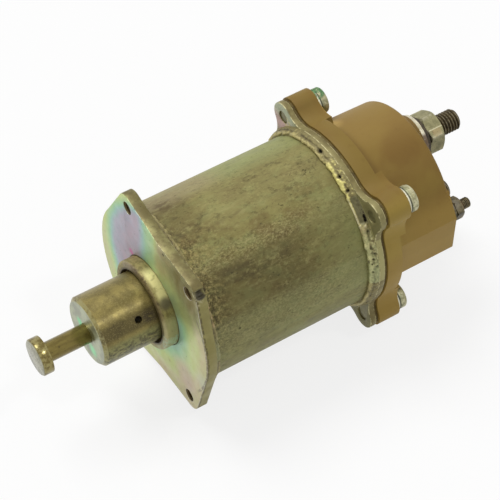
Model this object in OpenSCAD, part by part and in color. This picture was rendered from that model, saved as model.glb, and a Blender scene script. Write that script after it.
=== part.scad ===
// Starter solenoid. A sprung plunger slides into a steel yoke and pulls a shift lever by its
// button head. At the end of its stroke it pushes a rod that bridges two terminal bolts with a
// copper disc. X runs along the plunger towards the terminals and Z is up. The origin is the
// centre of the front plate's mounting face, so the plunger stands out on the -X side.

/* [Yoke] */
// Outside diameter of the yoke tube
yoke_d = 80; // [76:0.5:86]
// Wall of the yoke tube
yoke_wall = 4; // [3:0.25:4.5]
// Length of the yoke tube between the two flanges
yoke_len = 81.5; // [78:0.5:90]
// Leg of the weld bead behind the front plate
front_weld_leg = 2; // [1:0.1:2.1]
// Leg of the weld bead in front of the rear flange
rear_weld_leg = 2.8; // [1.5:0.1:2.8]

/* [Front plate] */
// Thickness of the front plate
plate_t = 5; // [4:0.25:7]
// How far the round part of the plate stands out past the yoke
plate_rim = 3.1; // [2.9:0.1:5]
// Height between the two holes of the wide pair
wide_pitch = 82; // [79:0.5:86]
// Sideways distance from the axis to the wide pair
wide_side = 19; // [16:0.5:22]
// Height between the two holes of the narrow pair
narrow_pitch = 71.2; // [68:0.2:74]
// Sideways distance from the axis to the narrow pair
narrow_side = 28.4; // [26:0.2:31]
// Diameter of the four mounting holes
mount_hole_d = 6; // [5:0.1:6.2]
// Radius of the plate's corner round each mounting hole
corner_r = 6.7; // [6:0.1:8]
// Diameter of the half-round notch in the plate's edge
notch_d = 3; // [2:0.1:4]
// Direction of the notch from the upper narrow hole
notch_turn = 143; // [120:1:160]

/* [Guide collar] */
// Wall of the pilot collar round the guide sleeve
collar_wall = 3.67; // [3.2:0.01:5]
// How far the collar stands out of the plate
collar_len = 6; // [4.5:0.25:8]
// Rounding of the collar's outer rim
collar_round = 1.2; // [0.5:0.1:2]
// Shoulder by which the collar is wider than the hole in the plate
collar_shoulder = 1.6; // [1:0.1:2]
// Depth of the recess in the plate that the collar's foot stands in
foot_depth = 0.5; // [0.3:0.05:1]
// Undercut of the collar's foot below its outer wall
foot_undercut = 0.6; // [0.3:0.1:0.8]
// Width of the open ring between the plunger and the collar's mouth
mouth_gap = 1.3; // [1.2:0.05:1.6]
// Depth of the collar's mouth in front of the guide sleeve
mouth_depth = 3; // [2:0.25:4]
// Wall of the brass guide sleeve
sleeve_wall = 1; // [0.8:0.1:1.2]

/* [Plunger] */
// Diameter of the plunger
plunger_d = 31.8; // [30:0.1:32]
// How far the plunger stands out of the mounting face at rest
plunger_out = 32.3; // [28:0.1:38]
// How far the plunger reaches behind the mounting face at rest
plunger_in = 44; // [41:0.5:47]
// Stroke of the plunger
stroke = 12; // [9:0.5:13]
// Air left between plunger and core when the plunger is fully in
pole_gap = 0.3; // [0.2:0.05:0.6]
// Chamfer of the plunger's front edge
plunger_chamfer = 1.5; // [0.5:0.1:2.5]
// Diameter of the spring pocket in the plunger's rear end
pocket_d = 16.6; // [15.6:0.2:18]
// Depth of the spring pocket
pocket_depth = 16; // [13:0.5:20]
// Distance of the pin hole from the plunger's front face
pin_hole_x = 18.1; // [14:0.1:20]
// Diameter of the pin hole across the plunger
pin_hole_d = 3.3; // [3.1:0.1:4]
// Turn of the pin hole about the axis, from straight up
pin_turn = 50.5; // [0:0.5:90]

/* [Pull rod] */
// Diameter of the pull rod
rod_d = 8.9; // [8:0.1:10]
// Distance from the plunger's face to the front of the button head
rod_out = 24.5; // [18:0.5:32]
// Diameter of the button head
head_d = 16.7; // [14:0.1:20]
// Thickness of the button head
head_t = 4.6; // [3:0.1:6]
// Depth of the pull rod in the plunger
rod_depth = 30; // [26:0.5:34]
// Diameter of the pin that locks the rod
pin_d = 3; // [2.5:0.1:3]
// Length of the locking pin
pin_len = 18; // [14:0.5:24]

/* [Coil] */
// Thickness of the fibre washers at both ends of the bobbin
fibre_t = 1; // [0.6:0.1:1.4]
// Wall of the bobbin's tube
bobbin_wall = 1.5; // [1:0.1:2]
// Thickness of the bobbin's end flanges
bobbin_flange_t = 1.5; // [1:0.1:2.5]
// Height of the pull-in winding
pull_in_h = 8.4; // [7.5:0.1:9]
// Thickness of the cotton tape round the windings
tape_t = 0.6; // [0.3:0.1:0.8]
// Air between the taped windings and the yoke
winding_room = 1.57; // [1:0.01:3]
// Diameter of the enamelled lead wires
lead_d = 1.6; // [1.2:0.1:1.8]
// Air between the leads and the contact disc's edge
lead_room = 4.2; // [3.5:0.1:4.8]
// Diameter of the lead holes in the core plate
lead_hole_d = 3.4; // [2.6:0.1:4]

/* [Fixed core] */
// Thickness of the core's pole plate
core_plate_t = 9.5; // [8:0.25:11]
// Diameter of the contact rod
contact_rod_d = 6; // [5:0.1:6.5]

/* [Rear flange] */
// Thickness of the rear flange
flange_t = 3; // [2.5:0.25:4]
// How far the flange's ring stands out past the yoke
flange_rim = 3; // [2.9:0.1:4]
// Radius of each lobe of the rear flange
lobe_r = 7.1; // [6:0.1:8]
// Radius of the hollow curve beside each lobe
lobe_fillet = 11; // [8:0.25:13]
// Room for a driver between the cap's body and each screw head
driver_room = 3.3; // [2.6:0.1:5]
// Width of the lip that keeps the core in the yoke
lip = 3; // [2:0.25:4]

/* [Terminal cap] */
// Thickness of the gasket under the cap
gasket_t = 1.5; // [1:0.1:2]
// How far the gasket lies inside the flange's outline
gasket_inset = 1; // [0.5:0.1:1.5]
// Thickness of the cap's ring flange
cap_ring_t = 7.6; // [6:0.2:9]
// Thickness of the cap's screw bosses
boss_t = 10.8; // [9.4:0.2:14]
// How far each boss stands out past the flange's lobe
boss_rim = 0.4; // [0.2:0.1:1.5]
// Wall of the cap's body at its rear end
cap_wall = 5.6; // [4.5:0.1:6.5]
// How much wider the body is at its front end, for draft
cap_draft = 1.2; // [0.4:0.1:2]
// Length of the cap
cap_len = 39; // [37.5:0.25:46]
// Rounding of the body's rear edge
cap_round = 2; // [1:0.1:3]
// How far the two flat sides stand out past the round
flat_rise = 1.1; // [0.6:0.1:1.9]
// Height of the flat sides
flats_h = 19; // [15:0.25:22]
// Air between the contact heads and the wall of the contact chamber
contact_head_room = 0.5; // [0.3:0.1:1.5]
// Thickness of the chamber's end wall
end_wall = 8; // [7:0.25:9]
// Height of the pads under the main terminals
main_pad_h = 2; // [1:0.1:2.6]
// Height of the pads under the control terminals
control_pad_h = 1.5; // [0.5:0.1:2.4]
// How far the pads stand out past the washers
pad_rim = 0.75; // [0.4:0.05:1]

/* [Cap screws] */
// Thread diameter of the cap screws
screw_d = 5.9; // [5:0.1:6]
// Diameter of the screw heads
screw_head_d = 12; // [10.5:0.1:12.6]
// Height of the screw heads
screw_head_h = 3.8; // [3:0.1:5]
// Thickness of the split washers under the heads
screw_washer_t = 1.6; // [1:0.1:2]

/* [Main terminals] */
// Thread diameter of the battery and motor terminals
main_d = 10; // [9:0.1:10.2]
// Distance between the two main terminals
main_pitch = 47; // [46:0.25:48]
// How far the main terminals stand out of the cap
main_out = 25.6; // [22:0.2:32]
// Diameter of the contact head inside the cap
main_head_d = 15; // [14.8:0.1:15.4]
// Thickness of the contact head
main_head_t = 6; // [5:0.1:7]
// Width of the square neck that keeps the bolt from turning
neck_w = 10.4; // [10.3:0.1:10.4]
// Length of the square neck
neck_len = 3; // [2:0.1:4]
// Diameter of the plain washers
main_washer_d = 21.5; // [19:0.1:23]
// Thickness of the plain washers
main_washer_t = 2; // [1.5:0.1:2.5]
// Diameter of the split washers
main_split_d = 17.8; // [15:0.1:18.5]
// Thickness of the split washers
main_split_t = 2.3; // [1.8:0.1:2.8]
// Width across the flats of the nuts
main_nut_w = 17; // [15:0.1:18]
// Height of the nuts
main_nut_h = 8; // [6:0.1:9]

/* [Control terminals] */
// Thread diameter of the two control terminals
control_d = 5; // [4:0.1:5.4]
// Air between the control terminals' heads and the wall of the chamber
control_head_room = 0.4; // [0.3:0.1:1]
// How far the control terminals stand out of the cap
control_out = 15.6; // [14:0.2:20]
// Diameter of their heads inside the cap
control_head_d = 8.2; // [7:0.1:8.6]
// Thickness of their heads
control_head_t = 3; // [2:0.1:4]
// Width across the flats of the control nuts
control_nut_w = 9.2; // [8:0.1:10]
// Height of the control nuts
control_nut_h = 4; // [3:0.1:4.4]
// Diameter of the control washers
control_washer_d = 11; // [9:0.1:12]
// Thickness of the control washers
control_washer_t = 1; // [0.6:0.1:1.2]

/* [Contact bridge] */
// Diameter of the copper contact disc
disc_d = 44; // [40:0.25:45]
// Thickness of the contact disc
disc_t = 3; // [2:0.1:4]
// Travel of the contact bridge
bridge_travel = 4; // [3:0.1:4.4]
// Air left at the contacts when the bridge is fully back
contact_gap = 0.1; // [0.1:0.05:0.4]
// Diameter of the insulating washers beside the disc
insulator_d = 18; // [15.8:0.1:19]
// Thickness of each insulating washer
insulator_t = 1.5; // [1:0.1:1.6]
// Wall of the insulating bush inside the disc
bush_wall = 1.5; // [1:0.1:1.8]
// Diameter of the shoulder on the contact rod
shoulder_d = 13; // [12.6:0.1:15]
// Thickness of the shoulder
shoulder_t = 2; // [1.5:0.1:3]
// Diameter of the retaining clip
clip_d = 11; // [9:0.1:11.4]
// Thickness of the retaining clip
clip_t = 1; // [0.7:0.1:1.2]
// Length of the rod behind the clip
rod_tail = 1.4; // [1:0.1:1.5]

/* [Springs] */
// Wire of the plunger's return spring
plunger_wire_d = 1.3; // [1:0.05:1.4]
// Mean diameter of the plunger's return spring
plunger_coil_d = 13; // [12.8:0.1:13.6]
// Turns of the plunger's return spring
plunger_turns = 8; // [6:1:8]
// Wire of the contact pressure spring
pressure_wire_d = 1.2; // [0.8:0.05:1.4]
// Mean diameter of the contact pressure spring
pressure_coil_d = 10; // [9:0.1:10.4]
// Turns of the contact pressure spring
pressure_turns = 6; // [4:1:7]
// Wire of the bridge's return spring
bridge_wire_d = 0.9; // [0.7:0.05:1]
// Mean diameter of the bridge's return spring
bridge_coil_d = 13.6; // [13.2:0.1:14]
// Turns of the bridge's return spring
bridge_turns = 4; // [3:1:4]
// Depth of the spring's seat in the cap's end wall
bridge_seat = 2; // [1:0.1:2.4]

/* [Hidden] */
$fn = 96;
// Radial clearance of pieces that are put together and stay there
fit = 0.05;
// Radial clearance of the plunger and of the contact rod in their guides
running = 0.08;
// Radial clearance of a screw or stud in its hole
free = 0.3;
// Core of a thread as a share of its outer diameter
thread_core = 0.85;
// Bite of an arc or a straight side into the curve that it runs into
bite = 0.05;

// Radii
yoke_r = yoke_d / 2;
yoke_inner_r = yoke_r - yoke_wall;
plate_r = yoke_r + plate_rim;
sleeve_inner_r = plunger_d / 2 + running;
sleeve_outer_r = sleeve_inner_r + sleeve_wall;
collar_r = sleeve_outer_r + fit + collar_wall;
collar_spigot_r = collar_r - collar_shoulder;
bobbin_inner_r = sleeve_outer_r + fit;
bobbin_outer_r = bobbin_inner_r + bobbin_wall;
bobbin_flange_r = yoke_inner_r - free;
pull_in_r = bobbin_outer_r + pull_in_h;
hold_in_r = yoke_inner_r - winding_room - tape_t;
core_r = yoke_inner_r - free;
flange_ring_r = yoke_r + flange_rim;
flange_bore_r = yoke_inner_r - lip;
boss_r = lobe_r + boss_rim;
chamber_r = main_pitch / 2 + main_head_d / 2 + contact_head_room;
cap_r = chamber_r + cap_wall;
control_r = chamber_r - control_head_room - control_head_d / 2;
screw_circle_r = cap_r + cap_draft / 2 + driver_room + screw_head_d / 2;
lead_r = disc_d / 2 + lead_room + lead_d / 2;
rod_bore_r = contact_rod_d / 2 + running;
main_core_r = thread_core * main_d / 2;
control_core_r = thread_core * control_d / 2;

// Places along X
x_plate = plate_t;
x_flange = x_plate + yoke_len;
x_gasket = x_flange + flange_t;
x_cap = x_gasket + gasket_t;
x_ring = x_cap + cap_ring_t;
x_boss = x_cap + boss_t;
x_cap_end = x_cap + cap_len;
x_wall = x_cap_end - end_wall;
x_main_pad = x_cap_end + main_pad_h;
x_control_pad = x_cap_end + control_pad_h;
x_main_split = x_main_pad + main_washer_t;
x_main_nut = x_main_split + main_split_t;
x_main_nut_end = x_main_nut + main_nut_h;
x_control_nut = x_control_pad + control_washer_t;
x_control_nut_end = x_control_nut + 2 * control_nut_h;
x_bobbin = x_plate + fibre_t;
x_core = x_flange - core_plate_t;
x_bobbin_end = x_core - fibre_t;
x_winding = x_bobbin + bobbin_flange_t;
x_winding_end = x_bobbin_end - bobbin_flange_t;
x_sleeve = mouth_depth - collar_len;
x_pole = plunger_in + stroke + pole_gap;
x_pocket = plunger_in - pocket_depth;
x_rod_tip = x_pocket + stroke - bridge_travel + fit;
x_contact = x_wall - main_head_t;
x_disc_end = x_contact - contact_gap - bridge_travel;
x_disc = x_disc_end - disc_t;
x_shoulder = x_flange + pole_gap;
x_clip = x_disc_end + insulator_t;
x_seat = x_wall + bridge_seat;

// Screws, studs and holes across the axis
screw_spots = [for (turn = [45:90:315]) screw_circle_r * [cos(turn), sin(turn)]];
mount_spots = [
    [wide_side, wide_pitch / 2], [-narrow_side, narrow_pitch / 2],
    [-narrow_side, -narrow_pitch / 2], [wide_side, -wide_pitch / 2]
];
main_spots = [[0, main_pitch / 2], [0, -main_pitch / 2]];
control_spots = [[-control_r, 0], [control_r, 0]];
start_spot = [-lead_r, 0];
earth_spot = [lead_r, 0];
motor_spot = [0, -lead_r];
lead_spots = [start_spot, earth_spot, motor_spot];

// Stands a drawing in Y and Z, or a solid grown along its own Z, at a place along X.
module at_x(x) {
    translate([x, 0, 0]) rotate([90, 0, 90]) children();
}

// A round bar or disc along X, with its centre at a spot [y, z].
module bar(x, len, r, spot = [0, 0]) {
    at_x(x) translate(spot) cylinder(h = len, r = r);
}

// A bar with a hole down its middle.
module ring(x, len, r, bore_r, spot = [0, 0]) {
    at_x(x) translate(spot) linear_extrude(len) difference() {
        circle(r);
        circle(bore_r);
    }
}

// A plate with the outline that its children draw.
module slab(x, len) {
    at_x(x) linear_extrude(len) children();
}

// A hole through everything from one place along X to another.
module hole(x, len, r, spot = [0, 0]) {
    bar(x - bite, len + 2 * bite, r, spot);
}

// The straight-sided web that joins a small circle to a big one round the origin.
module straight_web(big_r, small_r, spot) {
    slope = acos((big_r - small_r) / norm(spot));
    heading = atan2(spot.y, spot.x);
    polygon([
        for (end = [[big_r, 1], [small_r, 1], [small_r, -1], [big_r, -1]])
            let (turn = heading + end[1] * slope)
                (end[0] == big_r ? [0, 0] : spot) + (end[0] - bite) * [cos(turn), sin(turn)]
    ]);
}

// The web between a ring and the tip of a lobe, with a hollow fillet at each side.
module hollow_web(ring_radius, tip_r, fillet_r, spot) {
    dist = norm(spot);
    to_ring = ring_radius + fillet_r;
    to_tip = tip_r + fillet_r;
    spread = acos((to_ring ^ 2 + dist ^ 2 - to_tip ^ 2) / (2 * to_ring * dist));
    heading = atan2(spot.y, spot.x);
    centres = [for (side = [1, -1])
        to_ring * [cos(heading + side * spread), sin(heading + side * spread)]];
    difference() {
        polygon([[0, 0], centres[0], spot, centres[1]]);
        for (centre = centres) translate(centre) circle(fillet_r + bite);
    }
}

// The lobes that carry the cap screws, each down to the axis.
module lobes(x, len, ring_radius, tip_r, fillet_r) {
    for (spot = screw_spots) {
        bar(x, len, tip_r, spot);
        slab(x, len) hollow_web(ring_radius, tip_r, fillet_r, spot);
    }
}

module lobed_plate(x, len, ring_radius, tip_r, fillet_r) {
    bar(x, len, ring_radius);
    lobes(x, len, ring_radius, tip_r, fillet_r);
}

// A ring of weld metal in the corner between the yoke and a flange at its end.
module weld_bead(x, side, leg) {
    translate([x, 0, 0]) rotate([0, side * 90, 0]) rotate_extrude() intersection() {
        translate([yoke_r + fit, 0]) circle(leg);
        translate([yoke_r + fit, 0]) square(leg);
    }
}

// A coil spring along X that seats with its wire against both ends of its length.
module coil_spring(x, len, mean_d, wire_d, turns) {
    steps = 16;
    sides = 8;
    last = turns * steps;
    rise = (len - wire_d) / last;
    lean = atan(rise * steps / (PI * mean_d));
    points = [
        for (i = [0:last]) let (turn = 360 * i / steps)
            for (j = [0:sides - 1]) let (
                around = 360 * (j + 0.5) / sides,
                out = mean_d / 2 + wire_d / 2 * cos(around),
                up = wire_d / 2 * sin(around)
            ) [
                out * cos(turn) + up * sin(lean) * sin(turn),
                out * sin(turn) - up * sin(lean) * cos(turn),
                wire_d / 2 + rise * i + up * cos(lean)
            ]
    ];
    sleeve = [for (i = [0:last - 1]) for (j = [0:sides - 1]) let (k = (j + 1) % sides)
        [i * sides + j, (i + 1) * sides + j, (i + 1) * sides + k, i * sides + k]];
    ends = [[for (j = [0:sides - 1]) j], [for (j = [sides - 1:-1:0]) last * sides + j]];
    at_x(x) polyhedron(points, concat(sleeve, ends), convexity = turns);
}

// A hexagon nut with its corners turned off at both ends.
module nut(x, w, h, bore_r, spot) {
    corner = w / sqrt(3);
    edge = (corner - w / 2) / 2;
    at_x(x) translate(spot) intersection() {
        cylinder(h = h, r = corner, $fn = 6);
        rotate_extrude() polygon([
            [bore_r, 0], [corner - edge, 0], [corner + bite, edge],
            [corner + bite, h - edge], [corner - edge, h], [bore_r, h]
        ]);
    }
}

// A split washer, cut through at its side.
module split_washer(x, r, bore_r, t, spot) {
    difference() {
        ring(x, t, r, bore_r, spot);
        at_x(x - t) translate([spot.x, spot.y, 0]) rotate(-20) translate([0, -t / 4, 0])
            cube([2 * r, t / 2, 3 * t]);
    }
}

// A threaded bar with a chamfered end. Up to the outer face of its nut it is drawn at the core of
// the thread, and past the nut at the thread's outer diameter.
module stud(x, x_nut_end, x_end, r, core_r, spot) {
    tip = r / 6;
    held = x_nut_end - x;
    len = x_end - x;
    at_x(x) translate(spot) rotate_extrude() polygon([
        [0, 0], [core_r, 0], [core_r, held], [r, held], [r, len - tip], [r - tip, len], [0, len]
    ]);
}

// Housing

module front_plate() {
    notch_spot = mount_spots[1] + corner_r * [cos(notch_turn), sin(notch_turn)];
    color("DarkKhaki") difference() {
        union() {
            bar(0, plate_t, plate_r);
            for (spot = mount_spots) {
                bar(0, plate_t, corner_r, spot);
                slab(0, plate_t) straight_web(plate_r, corner_r, spot);
            }
        }
        hole(0, plate_t, collar_spigot_r + fit);
        bar(-bite, foot_depth + bite, collar_r + free);
        for (spot = mount_spots) hole(0, plate_t, mount_hole_d / 2, spot);
        hole(0, plate_t, notch_d / 2, notch_spot);
    }
}

module guide_collar() {
    mouth_r = plunger_d / 2 + mouth_gap;
    color("Khaki") at_x(0) rotate_extrude() difference() {
        union() {
            translate([0, -collar_len + collar_round])
                square([collar_r, collar_len - collar_round]);
            translate([0, -collar_len]) square([collar_r - collar_round, collar_len]);
            translate([collar_r - collar_round, -collar_len + collar_round])
                circle(collar_round);
            square([collar_r - foot_undercut, foot_depth]);
            square([collar_spigot_r, plate_t]);
        }
        translate([0, -2 * collar_len]) square([mouth_r, 2 * collar_len + x_sleeve + bite]);
        translate([0, x_sleeve]) square([sleeve_outer_r + fit, collar_len + plate_t]);
    }
}

module yoke_tube() {
    color("OliveDrab") ring(x_plate, yoke_len, yoke_r, yoke_inner_r);
}

module front_weld() {
    color("DarkKhaki") weld_bead(x_plate, 1, front_weld_leg);
}

module rear_weld() {
    color("Khaki") weld_bead(x_flange, -1, rear_weld_leg);
}

module rear_flange() {
    color("DarkKhaki") difference() {
        lobed_plate(x_flange, flange_t, flange_ring_r, lobe_r, lobe_fillet);
        hole(x_flange, flange_t, flange_bore_r);
        for (spot = screw_spots) hole(x_flange, flange_t, screw_d / 2 + fit, spot);
    }
}

module guide_sleeve() {
    color("Gold") ring(x_sleeve, x_core - x_sleeve - free, sleeve_outer_r, sleeve_inner_r);
}

// Coil and core

module lead_holes(x, len, r) {
    for (spot = lead_spots) hole(x, len, r, spot);
}

module fibre_washer(x) {
    difference() {
        ring(x, fibre_t, bobbin_flange_r, bobbin_inner_r);
        lead_holes(x, fibre_t, lead_d / 2 + fit);
    }
}

module front_fibre_washer() {
    color("SaddleBrown") fibre_washer(x_plate);
}

module rear_fibre_washer() {
    color("SaddleBrown") fibre_washer(x_bobbin_end);
}

module bobbin() {
    color("DimGray") difference() {
        union() {
            bar(x_bobbin, x_bobbin_end - x_bobbin, bobbin_outer_r);
            bar(x_bobbin, bobbin_flange_t, bobbin_flange_r);
            bar(x_winding_end, bobbin_flange_t, bobbin_flange_r);
        }
        hole(x_bobbin, x_bobbin_end - x_bobbin, bobbin_inner_r);
        lead_holes(x_winding_end, bobbin_flange_t, lead_d / 2 + fit);
    }
}

module pull_in_winding() {
    color("Chocolate") ring(x_winding, x_winding_end - x_winding, pull_in_r,
        bobbin_outer_r + fit);
}

module hold_in_winding() {
    color("Sienna") ring(x_winding, x_winding_end - x_winding, hold_in_r, pull_in_r + fit);
}

module winding_tape() {
    color("Wheat") ring(x_winding, x_winding_end - x_winding, hold_in_r + tape_t,
        hold_in_r + fit);
}

module fixed_core() {
    color("Silver") difference() {
        union() {
            bar(x_core, core_plate_t, core_r);
            bar(x_pole, x_core - x_pole + bite, sleeve_inner_r - fit);
        }
        hole(x_pole, x_flange - x_pole, rod_bore_r);
        lead_holes(x_core, core_plate_t, lead_hole_d / 2);
    }
}

module lead_wire(spot, x_end) {
    bar(x_winding_end, x_end - x_winding_end, lead_d / 2, spot);
}

module start_lead() {
    color("Peru") lead_wire(start_spot, x_wall - control_head_t);
}

module earth_lead() {
    color("Peru") lead_wire(earth_spot, x_wall - control_head_t);
}

module motor_lead() {
    color("Peru") lead_wire(motor_spot, x_contact);
}

// Terminal cap

module cap_gasket() {
    color("Black") difference() {
        lobed_plate(x_gasket, gasket_t, flange_ring_r - gasket_inset, lobe_r - gasket_inset,
            lobe_fillet + gasket_inset);
        hole(x_gasket, gasket_t, chamber_r);
        for (spot = screw_spots) hole(x_gasket, gasket_t, screw_d / 2 + free, spot);
    }
}

// The outside of the cap's body: a drafted round with a rounded rear edge.
module cap_round_body() {
    full = cap_len - cap_round;
    at_x(x_cap) rotate_extrude() union() {
        polygon([[0, 0], [cap_r + cap_draft / 2, 0], [cap_r, full], [0, full]]);
        translate([cap_r - cap_round, full]) circle(cap_round);
        square([cap_r - cap_round, cap_len]);
    }
}

// The flat sides of the body, each with a slope at both ends that runs into the round.
module cap_flat_sides() {
    corner = [cap_r + flat_rise, flats_h / 2];
    reach = atan2(corner.y, corner.x) + acos(cap_r / norm(corner));
    landing = (cap_r - bite) * [cos(reach), sin(reach)];
    at_x(x_ring - bite) linear_extrude(x_cap_end - x_ring + bite) polygon([
        landing, corner, [corner.x, -corner.y], [landing.x, -landing.y],
        [-landing.x, -landing.y], [-corner.x, -corner.y], [-corner.x, corner.y],
        [-landing.x, landing.y]
    ]);
}

module terminal_cap() {
    color("Peru") difference() {
        union() {
            bar(x_cap, cap_ring_t, flange_ring_r);
            lobes(x_cap, boss_t, flange_ring_r, boss_r, lobe_fillet);
            cap_round_body();
            cap_flat_sides();
            for (spot = main_spots)
                bar(x_wall, end_wall + main_pad_h, main_washer_d / 2 + pad_rim, spot);
            for (spot = control_spots)
                bar(x_wall, end_wall + control_pad_h, control_washer_d / 2 + pad_rim, spot);
        }
        hole(x_cap, cap_len - end_wall - bite, chamber_r);
        hole(x_wall, bridge_seat - bite, (bridge_coil_d + bridge_wire_d) / 2 + free);
        for (spot = screw_spots) hole(x_cap, boss_t, screw_d / 2 + free, spot);
        for (spot = main_spots) {
            hole(x_wall, end_wall + main_pad_h, main_d / 2 + fit, spot);
            slab(x_wall - bite, neck_len + bite) translate(spot)
                square(neck_w + 2 * fit, center = true);
        }
        for (spot = control_spots)
            hole(x_wall, end_wall + control_pad_h, control_d / 2 + fit, spot);
    }
}

module cap_screws() {
    dome = screw_head_h / 4;
    slot_w = screw_head_d / 8;
    x_head = x_boss + screw_washer_t;
    color("Silver") for (spot = screw_spots) {
        bar(x_flange + bite, x_head - x_flange, screw_d / 2, spot);
        difference() {
            at_x(x_head) translate(spot) rotate_extrude() union() {
                square([screw_head_d / 2, screw_head_h - dome]);
                square([screw_head_d / 2 - dome, screw_head_h]);
                translate([screw_head_d / 2 - dome, screw_head_h - dome]) circle(dome);
            }
            at_x(x_head + screw_head_h / 2) translate(spot) rotate(atan2(spot.y, spot.x))
                translate([-screw_head_d, -slot_w / 2, 0])
                    cube([2 * screw_head_d, slot_w, screw_head_h]);
        }
    }
}

module cap_split_washers() {
    color("Gray") for (spot = screw_spots)
        split_washer(x_boss, screw_head_d / 2 - fit, screw_d / 2 + free, screw_washer_t, spot);
}

// Terminals

module main_terminal(spot) {
    bar(x_contact, main_head_t, main_head_d / 2, spot);
    slab(x_wall - bite, neck_len + bite) translate(spot) square(neck_w, center = true);
    stud(x_wall, x_main_nut_end, x_cap_end + main_out, main_d / 2, main_core_r, spot);
}

module control_terminal(spot) {
    bar(x_wall - control_head_t, control_head_t, control_head_d / 2, spot);
    stud(x_wall - bite, x_control_nut_end, x_cap_end + control_out, control_d / 2,
        control_core_r, spot);
}

module battery_terminal() {
    color("DimGray") main_terminal(main_spots[0]);
}

module motor_terminal() {
    color("DimGray") main_terminal(main_spots[1]);
}

module start_terminal() {
    color("DarkOliveGreen") control_terminal(control_spots[0]);
}

module earth_terminal() {
    color("DarkOliveGreen") control_terminal(control_spots[1]);
}

module main_washers() {
    color("Gainsboro") for (spot = main_spots)
        ring(x_main_pad, main_washer_t, main_washer_d / 2, main_d / 2 + free, spot);
}

module main_split_washers() {
    color("Gray") for (spot = main_spots)
        split_washer(x_main_split, main_split_d / 2, main_d / 2 + free, main_split_t, spot);
}

module main_nuts() {
    color("Tan") for (spot = main_spots)
        nut(x_main_nut, main_nut_w, main_nut_h, main_core_r + fit, spot);
}

module control_washers() {
    color("Gray") for (spot = control_spots)
        ring(x_control_pad, control_washer_t, control_washer_d / 2, control_d / 2 + free, spot);
}

module control_nut_pair(x) {
    for (spot = control_spots) nut(x, control_nut_w, control_nut_h, control_core_r + fit, spot);
}

module control_lock_nuts() {
    color("RosyBrown") control_nut_pair(x_control_nut);
}

module control_nuts() {
    color("RosyBrown") control_nut_pair(x_control_nut + control_nut_h);
}

// Plunger

module across_plunger(len, r) {
    translate([pin_hole_x - plunger_out, 0, 0]) rotate([pin_turn, 0, 0])
        translate([0, 0, -len / 2]) cylinder(h = len, r = r);
}

module plunger() {
    r = plunger_d / 2;
    color("DarkGoldenrod") difference() {
        at_x(-plunger_out) union() {
            cylinder(h = plunger_chamfer, r1 = r - plunger_chamfer, r2 = r);
            translate([0, 0, plunger_chamfer])
                cylinder(h = plunger_out + plunger_in - plunger_chamfer, r = r);
        }
        bar(-2 * plunger_out, plunger_out + rod_depth, rod_d / 2 + fit);
        bar(x_pocket, 2 * pocket_depth, pocket_d / 2);
        across_plunger(2 * plunger_d, pin_hole_d / 2);
    }
}

module pull_rod() {
    edge = head_t / 8;
    x_head = -plunger_out - rod_out;
    color("Goldenrod") difference() {
        union() {
            at_x(x_head) cylinder(h = edge, r1 = head_d / 2 - edge, r2 = head_d / 2);
            bar(x_head + edge, head_t - edge, head_d / 2);
            bar(x_head + edge, rod_out + rod_depth - edge, rod_d / 2);
        }
        across_plunger(2 * plunger_d, pin_d / 2 + fit);
    }
}

module rod_lock_pin() {
    color("Gray") across_plunger(pin_len, pin_d / 2);
}

module plunger_spring() {
    color("SlateGray") coil_spring(x_pocket, x_pole - x_pocket, plunger_coil_d, plunger_wire_d,
        plunger_turns);
}

// Contact bridge

module contact_rod() {
    groove_r = contact_rod_d / 2 - clip_t / 2;
    x_end = x_clip + clip_t + rod_tail;
    color("Silver") union() {
        bar(x_rod_tip, x_clip - x_rod_tip, contact_rod_d / 2);
        bar(x_clip - bite, clip_t + 2 * bite, groove_r);
        bar(x_clip + clip_t, x_end - x_clip - clip_t, contact_rod_d / 2);
        bar(x_shoulder, shoulder_t, shoulder_d / 2);
    }
}

module contact_disc() {
    color("Chocolate") ring(x_disc, disc_t, disc_d / 2, contact_rod_d / 2 + bush_wall + 2 * fit);
}

// The front insulating washer, in one piece with the bush that carries the disc.
module contact_bush() {
    color("DarkRed") difference() {
        union() {
            bar(x_disc - insulator_t, insulator_t, insulator_d / 2);
            bar(x_disc - insulator_t, insulator_t + disc_t, contact_rod_d / 2 + bush_wall + fit);
        }
        bar(x_disc - 2 * insulator_t, disc_t + 4 * insulator_t, contact_rod_d / 2 + fit);
    }
}

module contact_washer() {
    color("DarkRed") ring(x_disc_end, insulator_t, insulator_d / 2, contact_rod_d / 2 + fit);
}

module pressure_spring() {
    x = x_shoulder + shoulder_t;
    color("SlateGray") coil_spring(x, x_disc - insulator_t - x, pressure_coil_d,
        pressure_wire_d, pressure_turns);
}

// A split ring that snaps into the groove behind the rear insulating washer.
module rod_clip() {
    groove_r = contact_rod_d / 2 - clip_t / 2;
    color("Black") difference() {
        ring(x_clip, clip_t, clip_d / 2, groove_r + fit);
        at_x(x_clip - clip_t) translate([-groove_r, -clip_d, 0])
            cube([2 * groove_r, clip_d, 3 * clip_t]);
    }
}

module bridge_spring() {
    color("SlateGray") coil_spring(x_clip, x_seat - x_clip, bridge_coil_d, bridge_wire_d,
        bridge_turns);
}

front_plate();
guide_collar();
yoke_tube();
front_weld();
rear_weld();
rear_flange();
guide_sleeve();
front_fibre_washer();
bobbin();
pull_in_winding();
hold_in_winding();
winding_tape();
rear_fibre_washer();
fixed_core();
start_lead();
earth_lead();
motor_lead();
cap_gasket();
terminal_cap();
cap_screws();
cap_split_washers();
battery_terminal();
motor_terminal();
main_washers();
main_split_washers();
main_nuts();
start_terminal();
earth_terminal();
control_washers();
control_lock_nuts();
control_nuts();
plunger();
pull_rod();
rod_lock_pin();
plunger_spring();
contact_rod();
contact_disc();
contact_bush();
contact_washer();
pressure_spring();
rod_clip();
bridge_spring();
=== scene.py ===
import math

import bmesh
import bpy
from mathutils import Matrix, Vector, noise


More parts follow.
